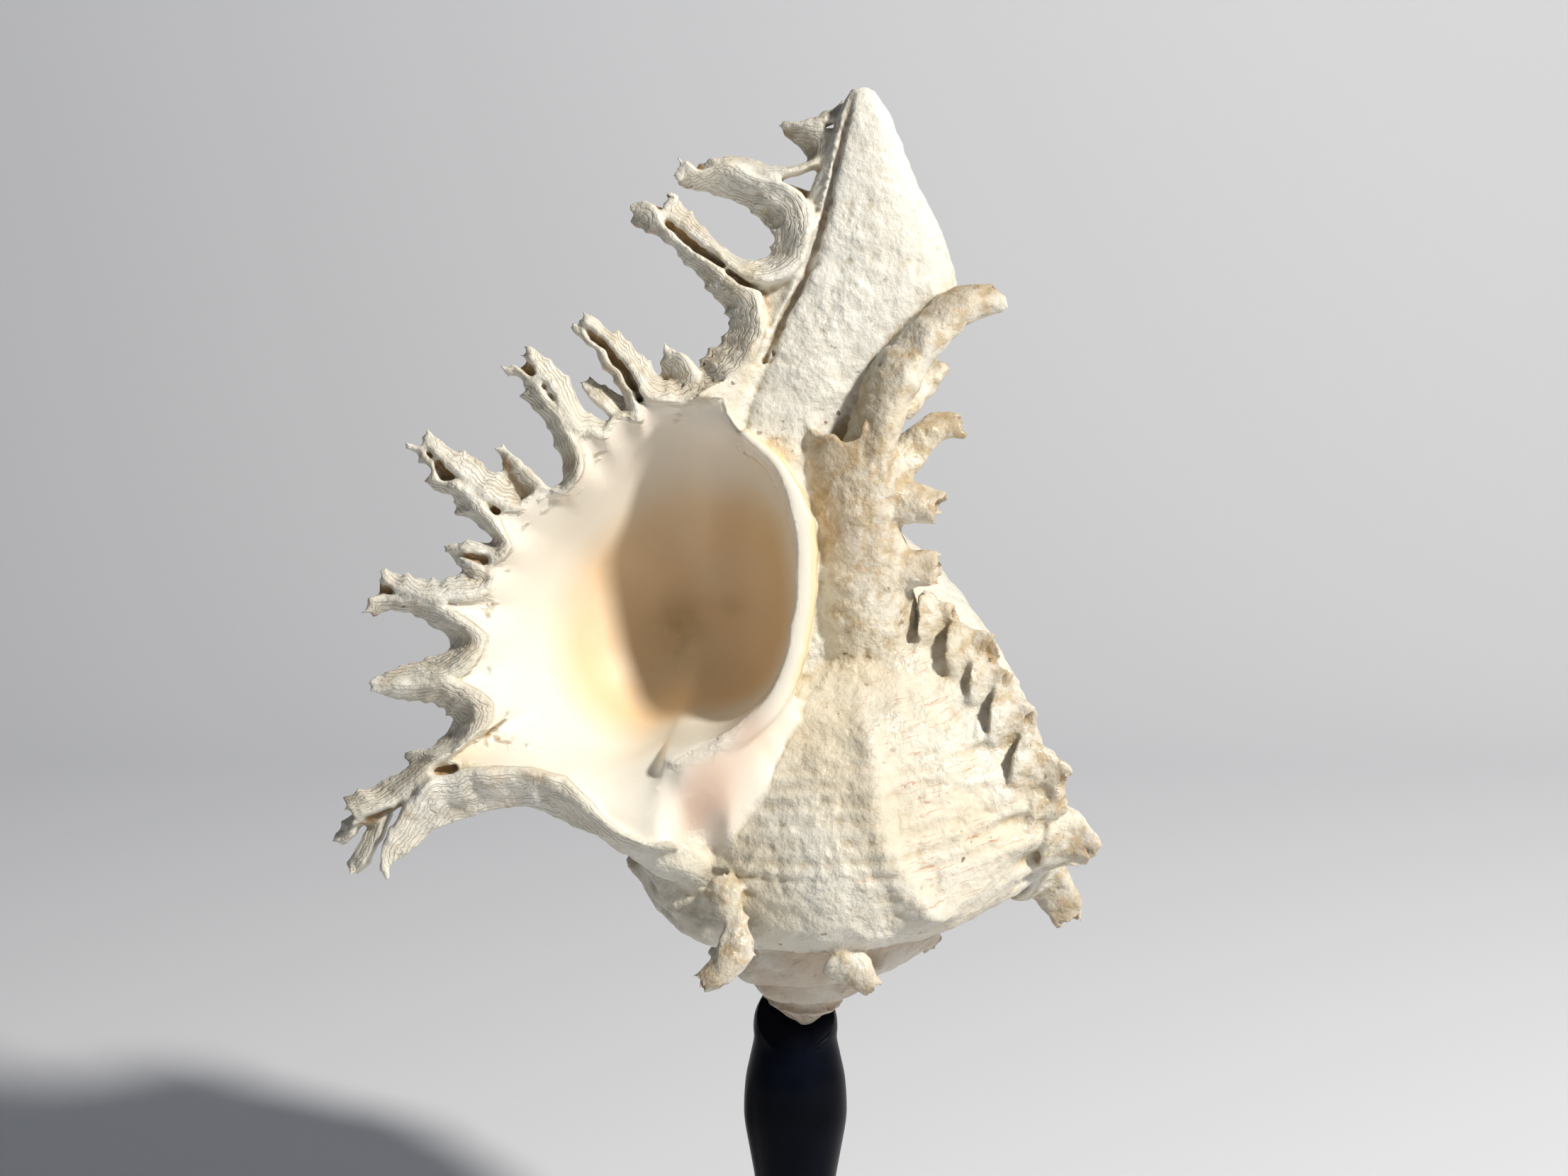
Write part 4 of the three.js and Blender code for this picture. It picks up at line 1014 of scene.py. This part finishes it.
# Painted shade: lilac grey on the bowl's upper part, which faces down.
inside = mixed(product(attribute("painted_shade_lilac"), 0.7), inside, SHADE_LILAC)
inside = mixed(product(attribute("olive"), ranged(grain(120, 4), 0.4, 0.6, 0.2, 0.7)), inside, OLIVE)
inside = mixed(ranged(grain(70, 3), 0.45, 0.7, 0, 0.25), inside, (0.80, 0.72, 0.60))
inside = mixed(product(attribute("salmon"), 0.75), inside, SALMON)
colour = mixed(attribute("porcelain"), outside, inside)
colour = mixed(product(attribute("golden"), 0.75), colour, GOLD)
links.new(colour, shader.inputs["Base Color"])
# Worn patches of the last whorl and the canal have a granular gloss.
worn = ranged(grain(55, 4), 0.46, 0.6)
outside_roughness = ranged(product(worn, ranged(grain(500, 2), 0.40, 0.60)), 0, 1, 0.6, 0.16)
roughness = tree_nodes.new("ShaderNodeMix")
roughness.data_type = "FLOAT"
fed(roughness.inputs[0], attribute("porcelain"))
fed(roughness.inputs[2], outside_roughness)
fed(roughness.inputs[3], ranged(attribute("depth"), 0, 0.7, 0.24, 0.45))
links.new(roughness.outputs[0], shader.inputs["Roughness"])
grit = reckoned("ADD", product(grain(620, 4, roughness=0.6), 1.0), product(grain(190, 3), 1.4))
grit = reckoned("ADD", grit, product(worn, grain(300, 3), 2.2))
grit = reckoned("SUBTRACT", grit, product(layer_lines, 0.5))
grit = product(grit, ranged(attribute("porcelain"), 0.2, 1.0, 1.0, 0.05))
bump = tree_nodes.new("ShaderNodeBump")
bump.inputs["Distance"].default_value = 0.0006
bump.inputs["Strength"].default_value = 0.75
links.new(grit, bump.inputs["Height"])
links.new(bump.outputs[0], shader.inputs["Normal"])
shader.inputs["Subsurface Weight"].default_value = 0.08
shader.inputs["Subsurface Radius"].default_value = (0.004, 0.003, 0.002)
shader.inputs["Subsurface Scale"].default_value = 0.5
shell.data.materials.clear()
shell.data.materials.append(shell_material)
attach(shell, "root")
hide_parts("shell")

# ---- Stand ------------------------------------------------------------------------------------
# The turned stand: a round foot and a baluster post of wood under satin black lacquer. The post's top is
# cut away at a slant in front and hollowed to a cone that holds the spire.
POST_OUTLINE = [  # radius and height
    (0.0410, 0), (0.0420, 0.0012), (0.0421, 0.003), (0.0418, 0.005), (0.0380, 0.0095),
    (0.0300, 0.0125), (0.0225, 0.0155), (0.0170, 0.0190), (0.0135, 0.0235), (0.0110, 0.0285),
    (0.0094, 0.0350), (0.0086, 0.0430), (0.0088, 0.0500), (0.0100, 0.0575), (0.0111, 0.0640),
    (0.0113, 0.0680), (0.0109, 0.0740), (0.0099, 0.0790), (0.0091, 0.0830), (0.0092, 0.0855),
    (0.0090, 0.0880), (0.0084, 0.0900), (0.0074, 0.0920),
]
bpy.ops.object.select_all(action="DESELECT")
foot_radius = POST_OUTLINE[0][0]
bpy.ops.mesh.primitive_circle_add(vertices=112, radius=foot_radius, fill_type="NGON", location=(0, 0, 0))
post = bpy.context.object
post.name = "turned_stand"
bpy.ops.object.mode_set(mode="EDIT")
bpy.ops.mesh.select_all(action="SELECT")
outline = through(POST_OUTLINE, np.linspace(0, 1, 89))
for (radius, height), (next_radius, next_height) in zip(outline[:-1], outline[1:]):
    rise, widening = float(next_height - height), float(next_radius / radius)
    bpy.ops.mesh.extrude_region_move(TRANSFORM_OT_translate={"value": (0, 0, rise)})
    bpy.ops.transform.resize(value=(widening, widening, 1))
SLANT, CUT_HEIGHT = math.radians(49), 0.092
bpy.ops.mesh.select_all(action="SELECT")
bpy.ops.mesh.normals_make_consistent(inside=False)
cut_facing = (0, -math.sin(SLANT), math.cos(SLANT))
bpy.ops.mesh.bisect(plane_co=(0, 0, CUT_HEIGHT), plane_no=cut_facing, clear_outer=True, use_fill=True)
bpy.ops.object.mode_set(mode="OBJECT")
SEAT_RADIUS, SEAT_DEPTH, SEAT_GAP = 0.0158, 0.020, 0.0006
bpy.ops.mesh.primitive_cone_add(vertices=96, radius1=0, radius2=SEAT_RADIUS, depth=SEAT_DEPTH,
                                location=(APEX.x, APEX.y, shell_foot - SEAT_GAP + SEAT_DEPTH / 2))
seat = bpy.context.object
pick(post)
worked(post, "sunk", "BOOLEAN", operation="DIFFERENCE", solver="EXACT", object=seat)
bpy.data.objects.remove(seat)
worked(post, "rim", "BEVEL", width=0.0005, segments=3, limit_method="ANGLE", angle_limit=math.radians(38))
bpy.ops.object.shade_smooth_by_angle(angle=math.radians(40))
lacquer_material = bpy.data.materials.new("black_lacquer")
lacquer_material.use_nodes = True
tree_nodes, links = lacquer_material.node_tree.nodes, lacquer_material.node_tree.links
lacquer = tree_nodes["Principled BSDF"]
place_node = tree_nodes.new("ShaderNodeTexCoord")
LACQUER, WORN_LACQUER = (0.0012, 0.0015, 0.003), (0.003, 0.004, 0.009)
links.new(mixed(ranged(grain(60, 4), 0.4, 0.65), LACQUER, WORN_LACQUER), lacquer.inputs["Base Color"])
smears = grain(35, 5, (1, 1, 0.35))
links.new(ranged(smears, 0.35, 0.7, 0.22, 0.40), lacquer.inputs["Roughness"])
lacquer.inputs["Specular IOR Level"].default_value = 0.05
wood = tree_nodes.new("ShaderNodeBump")
wood.inputs["Distance"].default_value = 0.0002
wood.inputs["Strength"].default_value = 0.25
links.new(grain(240, 3, (1, 1, 0.12)), wood.inputs["Height"])
links.new(wood.outputs[0], lacquer.inputs["Normal"])
post.data.materials.clear()
post.data.materials.append(lacquer_material)
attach(post, "root")
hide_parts("stand")
